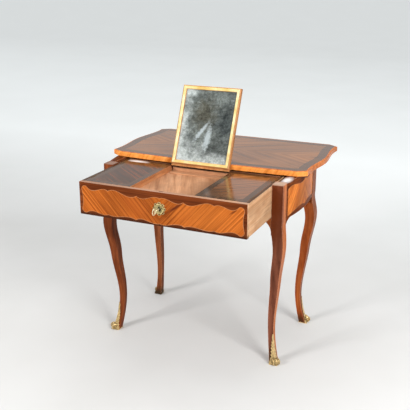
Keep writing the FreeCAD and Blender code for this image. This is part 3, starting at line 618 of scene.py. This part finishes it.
def bare_wood(name, tones, turn=along_x, soil=0.4, marks=()):
    material, shader = fresh_material(name)
    place = on_piece(material, turn)
    bands = noise(material, place, grain(3.2, 48.0), detail=5.0, roughness=0.65, distortion=0.5)
    fibres = noise(material, place, grain(14.0, 620.0), detail=3.0)
    stains = noise(material, place, grain(9.0, 14.0), detail=6.0, roughness=0.62)
    colour = toned(material, bands, (0.28, 0.5, 0.72), tones)
    colour = darkened(material, colour, fade(material, stains, (0.32, 1 - soil), (0.6, 1.0)))
    colour = darkened(material, colour, fade(material, fibres, (0.35, 0.72), (0.6, 1.0)), 0.6)
    bump(material, shader, fibres, fibre_depth, strength=0.6)
    set_finish(material, shader, {
        "Base Color": marked(material, colour, marks),
        "Roughness": span(material, stains, 0.42, 0.7),
        "Specular IOR Level": 0.15,
    })
    return material


def faced_wood(name, turn, core_tones, top_tones, front_tones=None, sheen=0.04, marks=()):
    # A board of plain wood whose upper face, and front face where given, is veneered and polished
    material, shader = fresh_material(name)
    place = on_piece(material, turn)
    colour, clouds = wood_figure(material, place, core_tones, 60.0, 0.3, 0.35)
    soil = noise(material, place, grain(12.0, 22.0), detail=6.0, roughness=0.65)
    colour = darkened(material, colour, toned(material, soil, (0.34, 0.5), (soiled_wood, grey(1.0))))
    polish = facing(material, "Z")
    top, _ = wood_figure(material, place, top_tones, 100.0, 0.3, 0.3)
    colour = mixed(material, colour, top, polish)
    if front_tones:
        front, _ = wood_figure(material, place, front_tones, 110.0, 0.35, 0.4)
        forward = facing(material, "Y", -1.0)
        colour = mixed(material, colour, front, forward)
        polish = reckoned(material, "MAXIMUM", polish, reckoned(material, "MULTIPLY", forward, 0.7))
    rough = reckoned(material, "ADD", span(material, clouds, 0.1, 0.24), span(material, polish, 0.35, 0.0))
    pores(material, shader, place)
    set_finish(material, shader, {
        "Base Color": marked(material, colour, marks),
        "Roughness": rough,
        "Specular IOR Level": sheen,
    })
    return material


def gilt(name, tones, rough=0.34, marks=()):
    # Cast mount: tarnish lies in the hollows, the edges are rubbed bright
    deep, bright = tones
    dimmed = tuple(0.3 * light + 0.7 * dark for light, dark in zip(bright, deep))
    material, shader = fresh_material(name)
    place = on_piece(material)
    tarnish = noise(material, place, even(230.0), detail=6.0, roughness=0.7)
    rub = noise(material, place, even(60.0), detail=3.0)
    colour = toned(material, tarnish, (0.38, 0.54), (dimmed, bright))
    colour = darkened(material, colour, fade(material, rub, (0.35, 0.7), (0.6, 1.0)), 0.7)
    colour = mixed(material, colour, bright, sharp_edge_mask(material, gilt_wear))
    colour = mixed(material, colour, deep, hollows(material))
    bump(material, shader, tarnish, cast_depth, strength=0.5)
    set_finish(material, shader, {
        "Base Color": marked(material, colour, marks),
        "Roughness": span(material, tarnish, rough + 0.16, rough - 0.06),
        "Metallic": 0.6,
    })
    return material


def dull_iron(name):
    material, shader = fresh_material(name)
    rust = noise(material, on_piece(material), even(180.0), detail=6.0, roughness=0.7)
    bump(material, shader, rust, rust_depth, strength=0.6)
    set_finish(material, shader, {
        "Base Color": toned(material, rust, (0.35, 0.6, 0.75), iron_tones),
        "Roughness": span(material, rust, 0.35, 0.7),
        "Metallic": 0.85,
    })
    return material


def on_glass(material):
    # Across the glass, out of it and up it, from its middle
    turn = Matrix.Rotation(math.radians(mirror_lean), 3, "X")
    return on_piece(material, (mirror_lean, 0, 0), shift=-(turn @ glass_middle))


def gilt_frame(name, turn, tones):
    # Burnished leaf over red ground, rubbed brown along its outer edge; the outer sides are bare wood
    material, shader = fresh_material(name)
    place = on_piece(material, turn)
    rub = noise(material, place, grain(40.0, 160.0), detail=6.0, roughness=0.72)
    laps = noise(material, place, grain(26.0, 9.0), detail=3.0)
    colour = toned(material, laps, (0.35, 0.5, 0.65), tones)
    colour = darkened(material, colour, toned(material, rub, (0.24, 0.36, 0.52), gilt_ground_tones), 0.7)
    glass = split(material, on_glass(material))
    across = beyond(material, glass["X"], frame_half[0])
    up = beyond(material, glass["Z"], frame_half[1])
    rim = reckoned(material, "MULTIPLY", reckoned(material, "MAXIMUM", across, up), 1 / millimetre)
    rim = reckoned(material, "ADD", rim, reckoned(material, "MULTIPLY", rub, 2.0))
    rim = reckoned(material, "ADD", reckoned(material, "MULTIPLY", rim, 0.1), 0.5)
    colour = mixed(material, colour, gilt_rim, fade(material, rim, (0.2, 0.0), (0.34, 0.9)))
    outside = facing(material, "X")
    for axis, sign in (("X", -1.0), ("Z", 1.0), ("Z", -1.0)):
        outside = reckoned(material, "MAXIMUM", outside, facing(material, axis, sign))
    metal = fade(material, rub, (0.24, 0.05), (0.4, 0.2))
    bump(material, shader, rub, gold_leaf_depth, strength=0.5)
    set_finish(material, shader, {
        "Base Color": mixed(material, colour, frame_side, outside),
        "Roughness": span(material, rub, 0.5, 0.3),
        "Metallic": mixed(material, metal, grey(0.0), outside),
    })
    return material


def on_silvering(material, place, middle, half_sizes, ragged, drifting, slant=0.0, reach=0.1):
    # An oval in the plane of the glass that reaches through it
    return patch(material, place, (middle[0], 0, middle[1]), (half_sizes[0], reach, half_sizes[1]),
                 slant, ragged, drifting)


def foxed_mirror(name):
    # Old silvering: dark and spotted in the middle, clouded white towards the left and the bottom, where the
    # clouds also paint a lamp's glare; two pale streaks are painted reflections
    material, shader = fresh_material(name)
    place = on_glass(material)
    mottle = noise(material, place, (95.0, 95.0, 120.0), detail=8.0, roughness=0.7, distortion=0.8)
    spots = noise(material, place, even(210.0), detail=4.0, roughness=0.6)
    drift = noise(material, place, (22.0, 22.0, 18.0), detail=8.0, roughness=0.66, distortion=0.5)
    blotch = noise(material, place, (20.0, 20.0, 26.0), detail=8.0, roughness=0.68, distortion=0.6)
    silver = toned(material, mottle, (0.32, 0.5, 0.68), silver_tones)
    silver = darkened(material, silver, fade(material, blotch, (0.38, 0.5), (0.6, 1.0)))
    for middle, half_sizes, tint in dark_patches:
        dark = on_silvering(material, place, middle, half_sizes, ragged=45.0, drifting=0.7)
        silver = darkened(material, silver, tint, fade(material, dark, (0.0, 0.0), (0.7, 0.9)))
    silver = darkened(material, silver, toned(material, spots, (0.3, 0.46), (brown_spot, grey(1.0))), 0.6)
    cloud = 0.0
    for middle, half_sizes in white_clouds:
        white = on_silvering(material, place, middle, half_sizes, ragged=36.0, drifting=0.6, reach=0.2)
        cloud = reckoned(material, "MAXIMUM", cloud, white)
    cloud = reckoned(material, "MULTIPLY", cloud, reckoned(material, "MULTIPLY", drift, 2.4))
    cloud = fade(material, cloud, (0.05, 0.0), (0.75, 0.95))
    colour = mixed(material, silver, toned(material, mottle, (0.3, 0.5, 0.68), haze_tones), cloud)
    # Two pale streaks on the silvering, painted reflections
    for middle, half_sizes, slant in reflection_streaks:
        reflection_mask = on_silvering(material, place, middle, half_sizes, ragged=110.0, drifting=0.55, slant=slant)
        reflection_mask = reckoned(material, "MULTIPLY", reflection_mask, span(material, mottle, 0.4, 1.6))
        colour = mixed(material, colour, reflection_white, fade(material, reflection_mask, (0.0, 0.0), (0.6, 0.9)))
    bump(material, shader, mottle, silver_depth, strength=0.3)
    set_finish(material, shader, {
        "Base Color": colour,
        "Roughness": span(material, mottle, 0.34, 0.12),
        "Metallic": span(material, cloud, 0.5, 0.0),
        "Coat Weight": 0.15,
        "Coat Roughness": 0.04,
    })
    return material


front_panel = polished_wood("striped_front_veneer", stripe_tones, (0, front_slant, 0), {"X": 0.0},
                            stripe=240.0, lines=0.5, streak=0.4, marks=front_stains)
side_panel = polished_wood("striped_side_veneer", side_tones, (-side_slant, 0, -90), {"Y": side_middle},
                           stripe=60.0, streak=0.4, sheen=0.02)
top_panel = polished_wood("top_field_veneer", top_tones, (0, 0, -top_slant), {"X": 0.0, "Y": field_middle},
                          stripe=45.0, lines=0.25, gloss=0.2, sheen=0.32)
right_lid_panel = polished_wood("right_lid_stripes", lid_tones, (0, 0, -lid_slant), stripe=80.0, gloss=0.12,
                                sheen=0.32, marks=lid_shade)
left_lid_panel = polished_wood("left_lid_stripes", left_lid_tones, (0, 0, lid_slant), stripe=60.0, gloss=0.14,
                               sheen=0.15)
top_border = polished_wood("top_border_veneer", top_border_tones, stripe=110.0, lines=0.3, gloss=0.2,
                           sheen=0.32, marks=back_edge_darkening)
deck_wood = polished_wood("deck_veneer", lid_border_tones, stripe=110.0, lines=0.3, gloss=0.16, sheen=0.35)
side_border = polished_wood("amaranth_side_rail", border_tones, along_y, worn=worn_edge, sheen=0.01,
                            marks=rail_glare)
rail_wood = polished_wood("mahogany_rail", leg_tones, stripe=70.0)
# The moulding's sides are painted darker than its front, as shade
edge_wood = polished_wood("crossbanded_edge", shaded_edge_tones, (0, edge_slant, 0), stripe=75.0, lines=0.2,
                          streak=0.15, sheen=0.06, front_tones=edge_tones)
far_leg_wood = leg_wood("mahogany_far_leg", far_leg_tones, worn=worn_edge, marks=far_foot_shade)
# Front left leg: the whole leg in darker tones, painted shade
shaded_left_leg_wood = leg_wood("shaded_mahogany_leg", shaded_leg_tones, marks=left_leg_top_sheen)
# Front right leg: sides in lit tones and front in shaded tones, painted light and shade
lit_and_shaded_leg_wood = leg_wood("lit_and_shaded_mahogany_leg", lit_leg_tones, worn=worn_edge, front_tones=shaded_front_leg_tones,
                          marks=near_leg_darkening_and_top_sheen)
back_leg_wood = leg_wood("bright_mahogany_leg", leg_tones, worn=worn_edge, front_tones=bright_leg_tones,
                         marks=back_foot_darkening)
lid_board = faced_wood("lid_board_wood", along_y, inner_tones, lid_border_tones, sheen=0.22, marks=lid_glare)
drawer_side_wood = faced_wood("drawer_side_oak", along_y, oak_tones, lid_border_tones, marks=oak_figure)
# The upper face of the drawer front is painted paler, a painted sheen
drawer_front_wood = faced_wood("drawer_front_board", along_x, oak_tones, front_top_sheen_tones, border_tones,
                               marks=front_bottom_shade)
oak = bare_wood("drawer_oak", oak_tones, along_y)
front_oak = bare_wood("drawer_cross_oak", oak_tones)
well_wood = bare_wood("well_floor_wood", well_tones, (0, 0, well_slant), soil=0.3, marks=well_shade)
well_wall = bare_wood("well_wall_wood", inner_tones, along_y, soil=0.25)
hidden_oak = bare_wood("inner_oak", hidden_tones, along_y)
board_wood = bare_wood("mirror_board_wood", mirror_board_tones, along_z)
foot_rail_wood = bare_wood("foot_rail_wood", well_tones, soil=0.35, marks=foot_rail_shadow_line)
cross_rail_wood = bare_wood("cross_rail_wood", cross_rail_tones)
stringing_wood = bare_wood("pale_stringing", stringing_tones, soil=0.2)
frame_gilt_level = gilt_frame("gilt_frame_level", along_x, level_gilt_tones)
frame_gilt_upright = gilt_frame("gilt_frame_upright", along_z, upright_gilt_tones)
shoe_gilt = gilt("gilt_bronze_shoe", shoe_gilt_tones)
shaded_far_shoe_gilt = gilt("gilt_bronze_shaded_far_shoe", shoe_gilt_tones, marks=far_shoe_shade)
plate_gilt = gilt("gilt_bronze_plate", plate_gilt_tones, marks=plate_hollow_shade)
key_gilt = gilt("gilt_bronze_key", key_gilt_tones)
hinge_brass = gilt("hinge_brass_dull", brass_tones, rough=0.4)
iron = dull_iron("lock_iron")
mirror_silver = foxed_mirror("foxed_silvering")

finish_of = {
    far_leg_wood: ("back_left_leg",),
    shaded_left_leg_wood: ("front_left_leg",),
    lit_and_shaded_leg_wood: ("front_right_leg",),
    back_leg_wood: ("back_right_leg",),
    shoe_gilt: ("front_left_sabot", "front_right_sabot", "back_right_sabot"),
    shaded_far_shoe_gilt: ("back_left_sabot",),
    plate_gilt: ("escutcheon",),
    key_gilt: ("key",),
    side_border: ("left_side_rail", "right_side_rail"),
    side_panel: ("left_side_veneer", "right_side_veneer"),
    rail_wood: ("back_rail", "front_rail", "top_board"),
    edge_wood: ("top_edge_moulding",),
    top_border: ("top_border",),
    deck_wood: ("rear_deck",),
    drawer_front_wood: ("drawer_front",),
    top_panel: ("top_field_left", "top_field_right"),
    front_panel: ("drawer_front_veneer_left", "drawer_front_veneer_right"),
    drawer_side_wood: ("drawer_left_side", "drawer_right_side"),
    oak: ("left_lid_rest", "right_lid_rest"),
    front_oak: ("drawer_back",),
    well_wood: ("well_floor",),
    well_wall: ("left_partition", "right_partition"),
    hidden_oak: ("left_drawer_runner", "right_drawer_runner", "left_top_cleat", "right_top_cleat",
                 "tenon_pegs", "drawer_bottom"),
    lid_board: ("left_lid", "right_lid"),
    left_lid_panel: ("left_lid_veneer",),
    right_lid_panel: ("right_lid_veneer",),
    hinge_brass: ("lid_hinges_fixed", "left_lid_leaves", "right_lid_leaves", "mirror_hinges_fixed",
                  "mirror_leaves"),
    iron: ("lock_case", "lock_bolt", "strike_plate", "cleat_screws"),
    foot_rail_wood: ("mirror_foot_rail",),
    cross_rail_wood: ("drawer_cross_rail",),
    board_wood: ("mirror_backboard",),
    mirror_silver: ("mirror_glass",),
    frame_gilt_level: ("mirror_frame_bottom", "mirror_frame_top"),
    frame_gilt_upright: ("mirror_frame_left", "mirror_frame_right"),
}


def coat(piece, finish):
    piece.data.materials.clear()
    piece.data.materials.append(finish)


for finish, names in finish_of.items():
    for name in names:
        coat(frame["nodes"][name], finish)


# Bench helpers for the new pieces

def take(piece):
    bpy.ops.object.select_all(action="DESELECT")
    piece.select_set(True)
    bpy.context.view_layer.objects.active = piece


def open_up(kind=None):
    # The piece in hand goes into edit mode, selected all over
    bpy.ops.object.mode_set(mode="EDIT")
    if kind:
        bpy.ops.mesh.select_mode(type=kind)
    bpy.ops.mesh.select_all(action="SELECT")


def close_up():
    bpy.ops.object.mode_set(mode="OBJECT")


def pick_none(kind):
    bpy.ops.object.mode_set(mode="EDIT")
    bpy.ops.mesh.select_mode(type=kind)
    bpy.ops.mesh.select_all(action="DESELECT")
    close_up()


def pick_faces(piece, wanted):
    pick_none("FACE")
    for face in piece.data.polygons:
        face.select = wanted(face)
    bpy.ops.object.mode_set(mode="EDIT")


def pick_points(piece, wanted):
    pick_none("VERT")
    for point in piece.data.vertices:
        point.select = wanted(point.co)
    bpy.ops.object.mode_set(mode="EDIT")


def pick_edges(piece, wanted):
    pick_none("EDGE")
    points = piece.data.vertices
    for edge in piece.data.edges:
        edge.select = wanted(points[edge.vertices[0]].co, points[edge.vertices[1]].co)
    bpy.ops.object.mode_set(mode="EDIT")


def looks_forward(face):
    return face.normal.y < -0.9


def stretched(piece, wanted, scale, middle):
    pick_points(piece, wanted)
    bpy.ops.transform.resize(value=scale, center_override=middle)
    close_up()


def worked(piece, kind, **settings):
    # Adds a modifier with these settings and applies it
    take(piece)
    modifier = piece.modifiers.new(kind.lower(), kind)
    for setting, value in settings.items():
        setattr(modifier, setting, value)
    bpy.ops.object.modifier_apply(modifier=modifier.name)


def settle(piece):
    take(piece)
    bpy.ops.object.transform_apply(location=True, rotation=True, scale=True)


def put_together(name, pieces):
    bpy.ops.object.select_all(action="DESELECT")
    for piece in pieces:
        piece.select_set(True)
    bpy.context.view_layer.objects.active = pieces[0]
    bpy.ops.object.join()
    whole = bpy.context.object
    whole.name = name
    settle(whole)
    return whole


def tidy_skin(piece, angle=35.0):
    take(piece)
    open_up()
    bpy.ops.mesh.remove_doubles(threshold=skin_merge)
    bpy.ops.mesh.normals_make_consistent(inside=False)
    close_up()
    bpy.ops.object.shade_smooth_by_angle(angle=math.radians(angle))


def dress(piece, finish, body, slot, *stands_for):
    coat(piece, finish)
    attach(piece, body)
    if stands_for:
        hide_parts(*stands_for)


def copies_round(piece, count, middle, axis):
    ring = [piece]
    for number in range(1, count):
        take(piece)
        bpy.ops.object.duplicate(linked=False)
        bpy.ops.transform.rotate(value=2 * math.pi * number / count, orient_axis=axis, center_override=middle)
        ring.append(bpy.context.object)
    return ring


def round_bar(radius, length, middle, sides):
    bpy.ops.mesh.primitive_cylinder_add(vertices=sides, radius=radius, depth=length, location=middle,
                                        rotation=axis_along_y)
    return bpy.context.object


def wire_ring(radius, wire, middle, turn, sides, wire_sides):
    bpy.ops.mesh.primitive_torus_add(major_radius=radius, minor_radius=wire, major_segments=sides,
                                     minor_segments=wire_sides, location=middle, rotation=turn)
    ring = bpy.context.object
    settle(ring)
    return ring


def turned_along_y(profile, middle, sides):
    # A round piece, drawn out from one end to the other along its profile of places and radii
    place, size = profile[0]
    bpy.ops.mesh.primitive_circle_add(vertices=sides, radius=size, fill_type="NGON",
                                      location=(middle.x, place, middle.z), rotation=axis_along_y)
    turned = bpy.context.object
    settle(turned)
    open_up("FACE")
    for next_place, next_size in profile[1:]:
        bpy.ops.mesh.extrude_region_move(TRANSFORM_OT_translate={"value": (0, next_place - place, 0)})
        share = next_size / size
        bpy.ops.transform.resize(value=(share, 1, share), center_override=(middle.x, next_place, middle.z))
        place, size = next_place, next_size
    close_up()
    return turned


# Stringing round the striped panels

def outline_line(name, node, faces_out, on_join, radius):
    # A copy of the veneer keeps only the outline of its outer face, which becomes a round line
    take(frame["nodes"][node])
    bpy.ops.object.duplicate(linked=False)
    line = bpy.context.object
    line.name = name
    bpy.ops.object.parent_clear(type="CLEAR_KEEP_TRANSFORM")
    for key in list(line.keys()):
        if key.startswith("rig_"):
            del line[key]
    open_up()
    bpy.ops.mesh.remove_doubles(threshold=veneer_merge)
    pick_faces(line, lambda face: not faces_out(face))
    bpy.ops.mesh.delete(type="FACE")
    bpy.ops.mesh.select_all(action="SELECT")
    bpy.ops.mesh.region_to_loop()
    bpy.ops.mesh.select_all(action="INVERT")
    bpy.ops.mesh.delete(type="EDGE")
    pick_edges(line, lambda first, second: on_join(first) and on_join(second))
    bpy.ops.mesh.delete(type="EDGE")
    close_up()
    bpy.ops.object.convert(target="CURVE")
    line = bpy.context.object
    line.data.bevel_depth = radius
    line.data.bevel_resolution = 2
    line.data.use_fill_caps = True
    bpy.ops.object.convert(target="MESH")
    return bpy.context.object


def front_stringing(side):
    line = outline_line(f"front_stringing_{side}", f"drawer_front_veneer_{side}",
                        looks_forward,
                        lambda point: abs(point.x) < front_join,
                        stringing_radius)
    open_up()
    bpy.ops.transform.resize(value=(1, stringing_flat, 1), center_override=(0, front_low.y, 0))
    close_up()
    tidy_skin(line)
    dress(line, stringing_wood, "drawer", "satinwood_veneer")


def side_stringing(side, sign):
    line = outline_line(f"side_stringing_{side}", f"{side}_side_veneer",
                        lambda face: face.normal.x * sign > 0.7,
                        lambda point: abs(point.y - side_middle) < side_join,
                        side_stringing_radius)
    tidy_skin(line)
    dress(line, stringing_wood, "carcass", "satinwood_veneer")


# Keyhole plate: a lobed and dished plate with open scrolls and beads round its rim

def cut_away(piece, cutter):
    worked(piece, "BOOLEAN", operation="DIFFERENCE", solver="MANIFOLD", object=cutter)
    bpy.data.objects.remove(cutter)


def plate_disc():
    middle = keyhole - Vector((0, plate_thickness / 2, 0))
    disc = round_bar(plate_radius, plate_thickness, middle, sides=64)
    settle(disc)

    def lobe(point):
        return math.cos(plate_lobes * math.atan2(point.z - keyhole.z, point.x))
    stretched(disc, lambda point: lobe(point) > lobe_from, (lobe_out, 1, lobe_out), keyhole)
    stretched(disc, lambda point: lobe(point) < dip_from, (dip_in, 1, dip_in), keyhole)
    pick_faces(disc, looks_forward)
    for inward, shift in plate_rings:
        bpy.ops.mesh.inset(thickness=inward)
        bpy.ops.transform.translate(value=(0, shift, 0))
    close_up()
    cut_away(disc, round_bar(hole_radius, drill_length, keyhole, sides=32))
    bpy.ops.mesh.primitive_cube_add(size=1, location=keyhole - Vector((0, 0, hole_drop / 2)),
                                    scale=(hole_slot, drill_length, hole_drop))
    cut_away(disc, bpy.context.object)
    return disc


def plate_scroll():
    # A C scroll, fat at its back and drawn in at both ends
    middle = keyhole + Vector((scroll_ring, -plate_thickness, 0))
    scroll = wire_ring(scroll_radius, scroll_wire, middle, axis_along_y, sides=28, wire_sides=10)
    stretched(scroll, lambda point: point.x > middle.x, scroll_back, middle)
    stretched(scroll, lambda point: point.x < middle.x - scroll_gap, scroll_ends, middle)
    return scroll


def plate_bead():
    # A pear-shaped bead between two scrolls
    middle = keyhole + Vector((bead_ring, -plate_thickness - bead_lift, 0))
    bpy.ops.mesh.primitive_uv_sphere_add(segments=14, ring_count=10, radius=bead_radius, location=middle)
    bead = bpy.context.object
    settle(bead)
    stretched(bead, lambda point: point.x > middle.x, bead_tail, middle)
    return bead


def keyhole_plate():
    disc = plate_disc()
    scrolls = copies_round(plate_scroll(), plate_lobes, keyhole, "Y")
    beads = copies_round(plate_bead(), plate_lobes * 2, keyhole, "Y")
    plate = put_together("keyhole_plate", [disc] + scrolls + beads)
    tidy_skin(plate)
    dress(plate, plate_gilt, "drawer", "gilt_bronze", "escutcheon")


# Key: ring bow with two scrolls, turned shaft, bit

def key_bow():
    middle = Vector((0, bow_middle, keyhole.z))
    bow = wire_ring(bow_radius, bow_wire, middle, axis_along_x, sides=48, wire_sides=12)
    stretched(bow, lambda point: abs(point.z - middle.z) > bow_swell_from, bow_swell, middle)
    pieces = [bow]
    for sign in (-1, 1):
        place = middle + Vector((0, bow_scroll_back, sign * bow_scroll_out))
        scroll = wire_ring(bow_scroll, bow_scroll_wire, place, axis_along_x, sides=28, wire_sides=8)
        stretched(scroll, lambda point: point.y < place.y, bow_scroll_ends, place)
        pieces.append(scroll)
    return pieces


def key_shaft():
    collar = bow_middle + bow_radius
    shaft = [(collar + place, radius) for place, radius in shaft_rows]
    tip = [(key_high.y + place, radius) for place, radius in tip_rows]
    return turned_along_y(shaft + tip, keyhole, sides=20)


def key_bit():
    middle = Vector((0, key_high.y - bit_length / 2 - bit_inset, keyhole.z - bit_drop / 2))
    bpy.ops.mesh.primitive_cube_add(size=1, location=middle, scale=(bit_thickness, bit_length, bit_drop))
    bit = bpy.context.object
    settle(bit)
    open_up()
    bpy.ops.mesh.bevel(offset=bit_bevel, segments=2)
    close_up()
    return bit


def lock_key():
    key = put_together("lock_key", key_bow() + [key_shaft(), key_bit()])
    tidy_skin(key)
    dress(key, key_gilt, "key", "gilt_bronze", "key")


# Gilt shoes: a serrated leaf that climbs the outer corner of the leg, a pleated skirt and a rolled toe

def shoe_leaf_flat():
    low, half = leaf_rows[0]
    top, width = leaf_rows[1]
    step = top - low
    bpy.ops.mesh.primitive_plane_add(size=1, rotation=axis_along_y)
    leaf = bpy.context.object
    settle(leaf)
    open_up()
    bpy.ops.transform.resize(value=(2 * half, 1, step), center_override=(0, 0, 0))
    bpy.ops.transform.translate(value=(0, 0, low + step / 2))
    pick_points(leaf, lambda point: point.z > low + step / 2)
    bpy.ops.transform.resize(value=(width / half, 1, 1), center_override=(0, 0, top))
    for height, next_width in leaf_rows[2:]:
        bpy.ops.mesh.select_mode(type="EDGE")
        bpy.ops.mesh.extrude_region_move(TRANSFORM_OT_translate={"value": (0, 0, height - top)})
        bpy.ops.transform.resize(value=(next_width / width, 1, 1), center_override=(0, 0, height))
        top, width = height, next_width
    pick_edges(leaf, lambda first, second: abs(first.z - second.z) < level_within)
    bpy.ops.mesh.subdivide(number_cuts=leaf_columns)
    close_up()
    return leaf


def raised(leaf, wanted, lift):
    pick_points(leaf, wanted)
    bpy.ops.transform.translate(value=(0, -lift, 0))
    close_up()


def share_of_leaf(point):
    # How far a point lies from the rib to the edge on the leaf's wide rows, 0 on the narrow ones
    row = min(range(len(leaf_rows)), key=lambda number: abs(leaf_rows[number][0] - point.z))
    return abs(point.x) / leaf_rows[row][1] if row % 2 else 0.0


def shoe_leaf(leg):
    # Modelled across X with the outer corner towards -Y, then laid on the leg
    leaf = shoe_leaf_flat()
    leaf.location = foot + outward * leaf_start
    leaf.rotation_euler = (0, 0, corner_turn)
    worked(leaf, "SHRINKWRAP", target=leg, wrap_method="PROJECT", use_project_y=True,
           use_negative_direction=False, use_positive_direction=True, offset=leaf_lift)
    raised(leaf, lambda point: point.z < toe_top, toe_lift)
    raised(leaf, lambda point: abs(point.x) < rib_half, rib_lift)
    raised(leaf, lambda point: vein_from < share_of_leaf(point) < tooth_from, vein_lift)
    raised(leaf, lambda point: share_of_leaf(point) > tooth_from, tooth_lift)
    worked(leaf, "SOLIDIFY", thickness=leaf_wall, offset=0.0)
    worked(leaf, "SUBSURF", levels=2, render_levels=2)
    settle(leaf)
    return leaf


def shoe_skirt():
    # A pleated skirt that flares to the ground round the square foot
    low, half, out = skirt_rows[0]
    bpy.ops.mesh.primitive_plane_add(size=2 * half, location=foot + outward * out + Vector((0, 0, low)))
    skirt = bpy.context.object
    settle(skirt)
    open_up()
    bpy.ops.mesh.subdivide(number_cuts=skirt_pleats)
    open_up("FACE")
    bpy.ops.mesh.dissolve_faces()
    for height, next_half, next_out in skirt_rows[1:]:
        step = outward * (next_out - out) + Vector((0, 0, height - low))
        bpy.ops.mesh.extrude_region_move(TRANSFORM_OT_translate={"value": step})
        share = next_half / half
        bpy.ops.transform.resize(value=(share, share, 1), center_override=foot + outward * next_out)
        low, half, out = height, next_half, next_out
    close_up()

    def pleat(point):
        across, along = sorted((abs(point.x - foot.x), abs(point.y - foot.y)))
        return math.cos(math.pi * (skirt_pleats + 1) / 2 * (across / along + 1))
    stretched(skirt, lambda point: pleat(point) > pleat_from, (pleat_out, pleat_out, 1), foot)
    stretched(skirt, lambda point: pleat(point) < -pleat_from, (pleat_in, pleat_in, 1), foot)
    return skirt


def shoe_toe():
    # A reeded roll across the outer corner, with a volute at each end
    other_half = [(-place, radius) for place, radius in reversed(half_toe)]
    toe = turned_along_y(other_half + half_toe, Vector((0, 0, 0)), sides=32)
    for sign in (-1, 1):
        pick_faces(toe, lambda face: face.normal.y * sign > 0.9)
        for inward, shift in toe_volute:
            bpy.ops.mesh.inset(thickness=inward)
            bpy.ops.transform.translate(value=(0, sign * shift, 0))
        close_up()
    toe.location = foot + outward * toe_out + Vector((0, 0, toe_height))
    toe.rotation_euler = (0, 0, -corner_turn)
    settle(toe)
    return toe


def gilt_shoes():
    # The front right shoe is modelled, and the others are its mirror images
    leaf = shoe_leaf(frame["nodes"]["front_right_leg"])
    first = put_together("front_right_shoe", [leaf, shoe_skirt(), shoe_toe()])
    shoes = {"front_right": first}
    for place, flip in (("front_left", (-1, 1, 1)), ("back_right", (1, -1, 1)), ("back_left", (-1, -1, 1))):
        take(first)
        bpy.ops.object.duplicate(linked=False)
        shoe = bpy.context.object
        bpy.ops.transform.resize(value=flip, center_override=legs_middle)
        shoe.name = f"{place}_shoe"
        settle(shoe)
        shoes[place] = shoe
    for place, shoe in shoes.items():
        tidy_skin(shoe, angle=50.0)
        # The back left shoe takes the gilt with painted shade over it
        finish = shaded_far_shoe_gilt if place == "back_left" else shoe_gilt
        dress(shoe, finish, "carcass", "gilt_bronze", f"{place}_sabot")


# Stage, light and camera

def seen_directly(holder):
    # 1 for what the camera sees, itself or in a reflection, and 0 for the light that falls on the desk
    path = fresh_node(holder, "ShaderNodeLightPath")
    seen = reckoned(holder, "MAXIMUM", path.outputs["Is Camera Ray"], path.outputs["Is Glossy Ray"])
    return reckoned(holder, "MAXIMUM", seen, path.outputs["Is Transmission Ray"])


def studio_paper(name):
    # Grey near the desk, glowing as it nears the wall behind, beside and in front of it
    material, shader = fresh_material(name)
    place = on_piece(material)
    shade = noise(material, place, even(1.6), detail=3.0)
    parts = split(material, place)
    in_front = reckoned(material, "SUBTRACT", reckoned(material, "MULTIPLY", parts["Y"], -1.0), room_half)
    beside = beyond(material, parts["X"], room_half)
    away = reckoned(material, "MAXIMUM", parts["Y"], reckoned(material, "MAXIMUM", in_front, beside))
    depth = fresh_node(material, "ShaderNodeMapRange")
    depth.inputs["From Min"].default_value = wall_start
    depth.inputs["From Max"].default_value = wall_end
    linked(material, away, depth.inputs["Value"])
    glow = fade(material, depth.outputs["Result"], *wall_glow)
    set_finish(material, shader, {
        "Base Color": toned(material, shade, (0.3, 0.7), paper_tones),
        "Roughness": 0.9,
        "Specular IOR Level": 0.1,
        "Emission Color": wall_tint,
        "Emission Strength": reckoned(material, "MULTIPLY", seen_directly(material), glow),
    })
    return material


def pale_floor():
    bpy.ops.mesh.primitive_plane_add(size=paper_side, location=(0, 0, 0))
    floor = bpy.context.object
    floor.name = "floor"
    coat(floor, studio_paper("studio_paper"))


def soft_lamp(name, place, aim, side, power, reflected):
    bpy.ops.object.light_add(type="AREA", location=place)
    lamp = bpy.context.object
    lamp.name = name
    lamp.data.shape = "RECTANGLE"
    lamp.data.size = side
    lamp.data.size_y = side
    lamp.data.energy = power
    lamp.rotation_euler = (Vector(aim) - Vector(place)).to_track_quat("-Z", "Y").to_euler()
    lamp.visible_glossy = reflected


def studio_air():
    # Reflections find a dim room behind the camera and a pale wall behind the desk
    world = bpy.data.worlds.new("studio_air")
    world.use_nodes = True
    air = world.node_tree.nodes["Background"]
    towards = fresh_node(world, "ShaderNodeTexCoord").outputs["Generated"]
    depth = reckoned(world, "ADD", reckoned(world, "MULTIPLY", split(world, towards)["Y"], 0.5), 0.5)
    path = fresh_node(world, "ShaderNodeLightPath")
    strength = mixed(world, grey(air_light), fade(world, depth, *room_light), seen_directly(world))
    strength = mixed(world, strength, grey(backdrop_light), path.outputs["Is Camera Ray"])
    feed(world, air.inputs["Color"], air_tint)
    feed(world, air.inputs["Strength"], strength)
    return world


def studio():
    for name, values in lamps.items():
        soft_lamp(name, *values)
    bpy.context.scene.world = studio_air()
    bpy.context.scene.view_settings.view_transform = "Standard"


def camera():
    bpy.ops.object.camera_add(location=camera_place)
    eye = bpy.context.object
    eye.rotation_euler = (math.radians(90 + camera_pitch), 0, math.radians(camera_yaw))
    eye.data.sensor_width = camera_sensor
    eye.data.lens = photo_focal / photo_side * camera_sensor
    eye.data.shift_x = -(photo_middle[0] - photo_side / 2) / photo_side
    eye.data.shift_y = (photo_middle[1] - photo_side / 2) / photo_side
    bpy.context.scene.camera = eye


bpy.ops.object.select_all(action="DESELECT")
front_stringing("left")
front_stringing("right")
side_stringing("left", -1)
side_stringing("right", 1)
keyhole_plate()
lock_key()
gilt_shoes()
pale_floor()
studio()
camera()
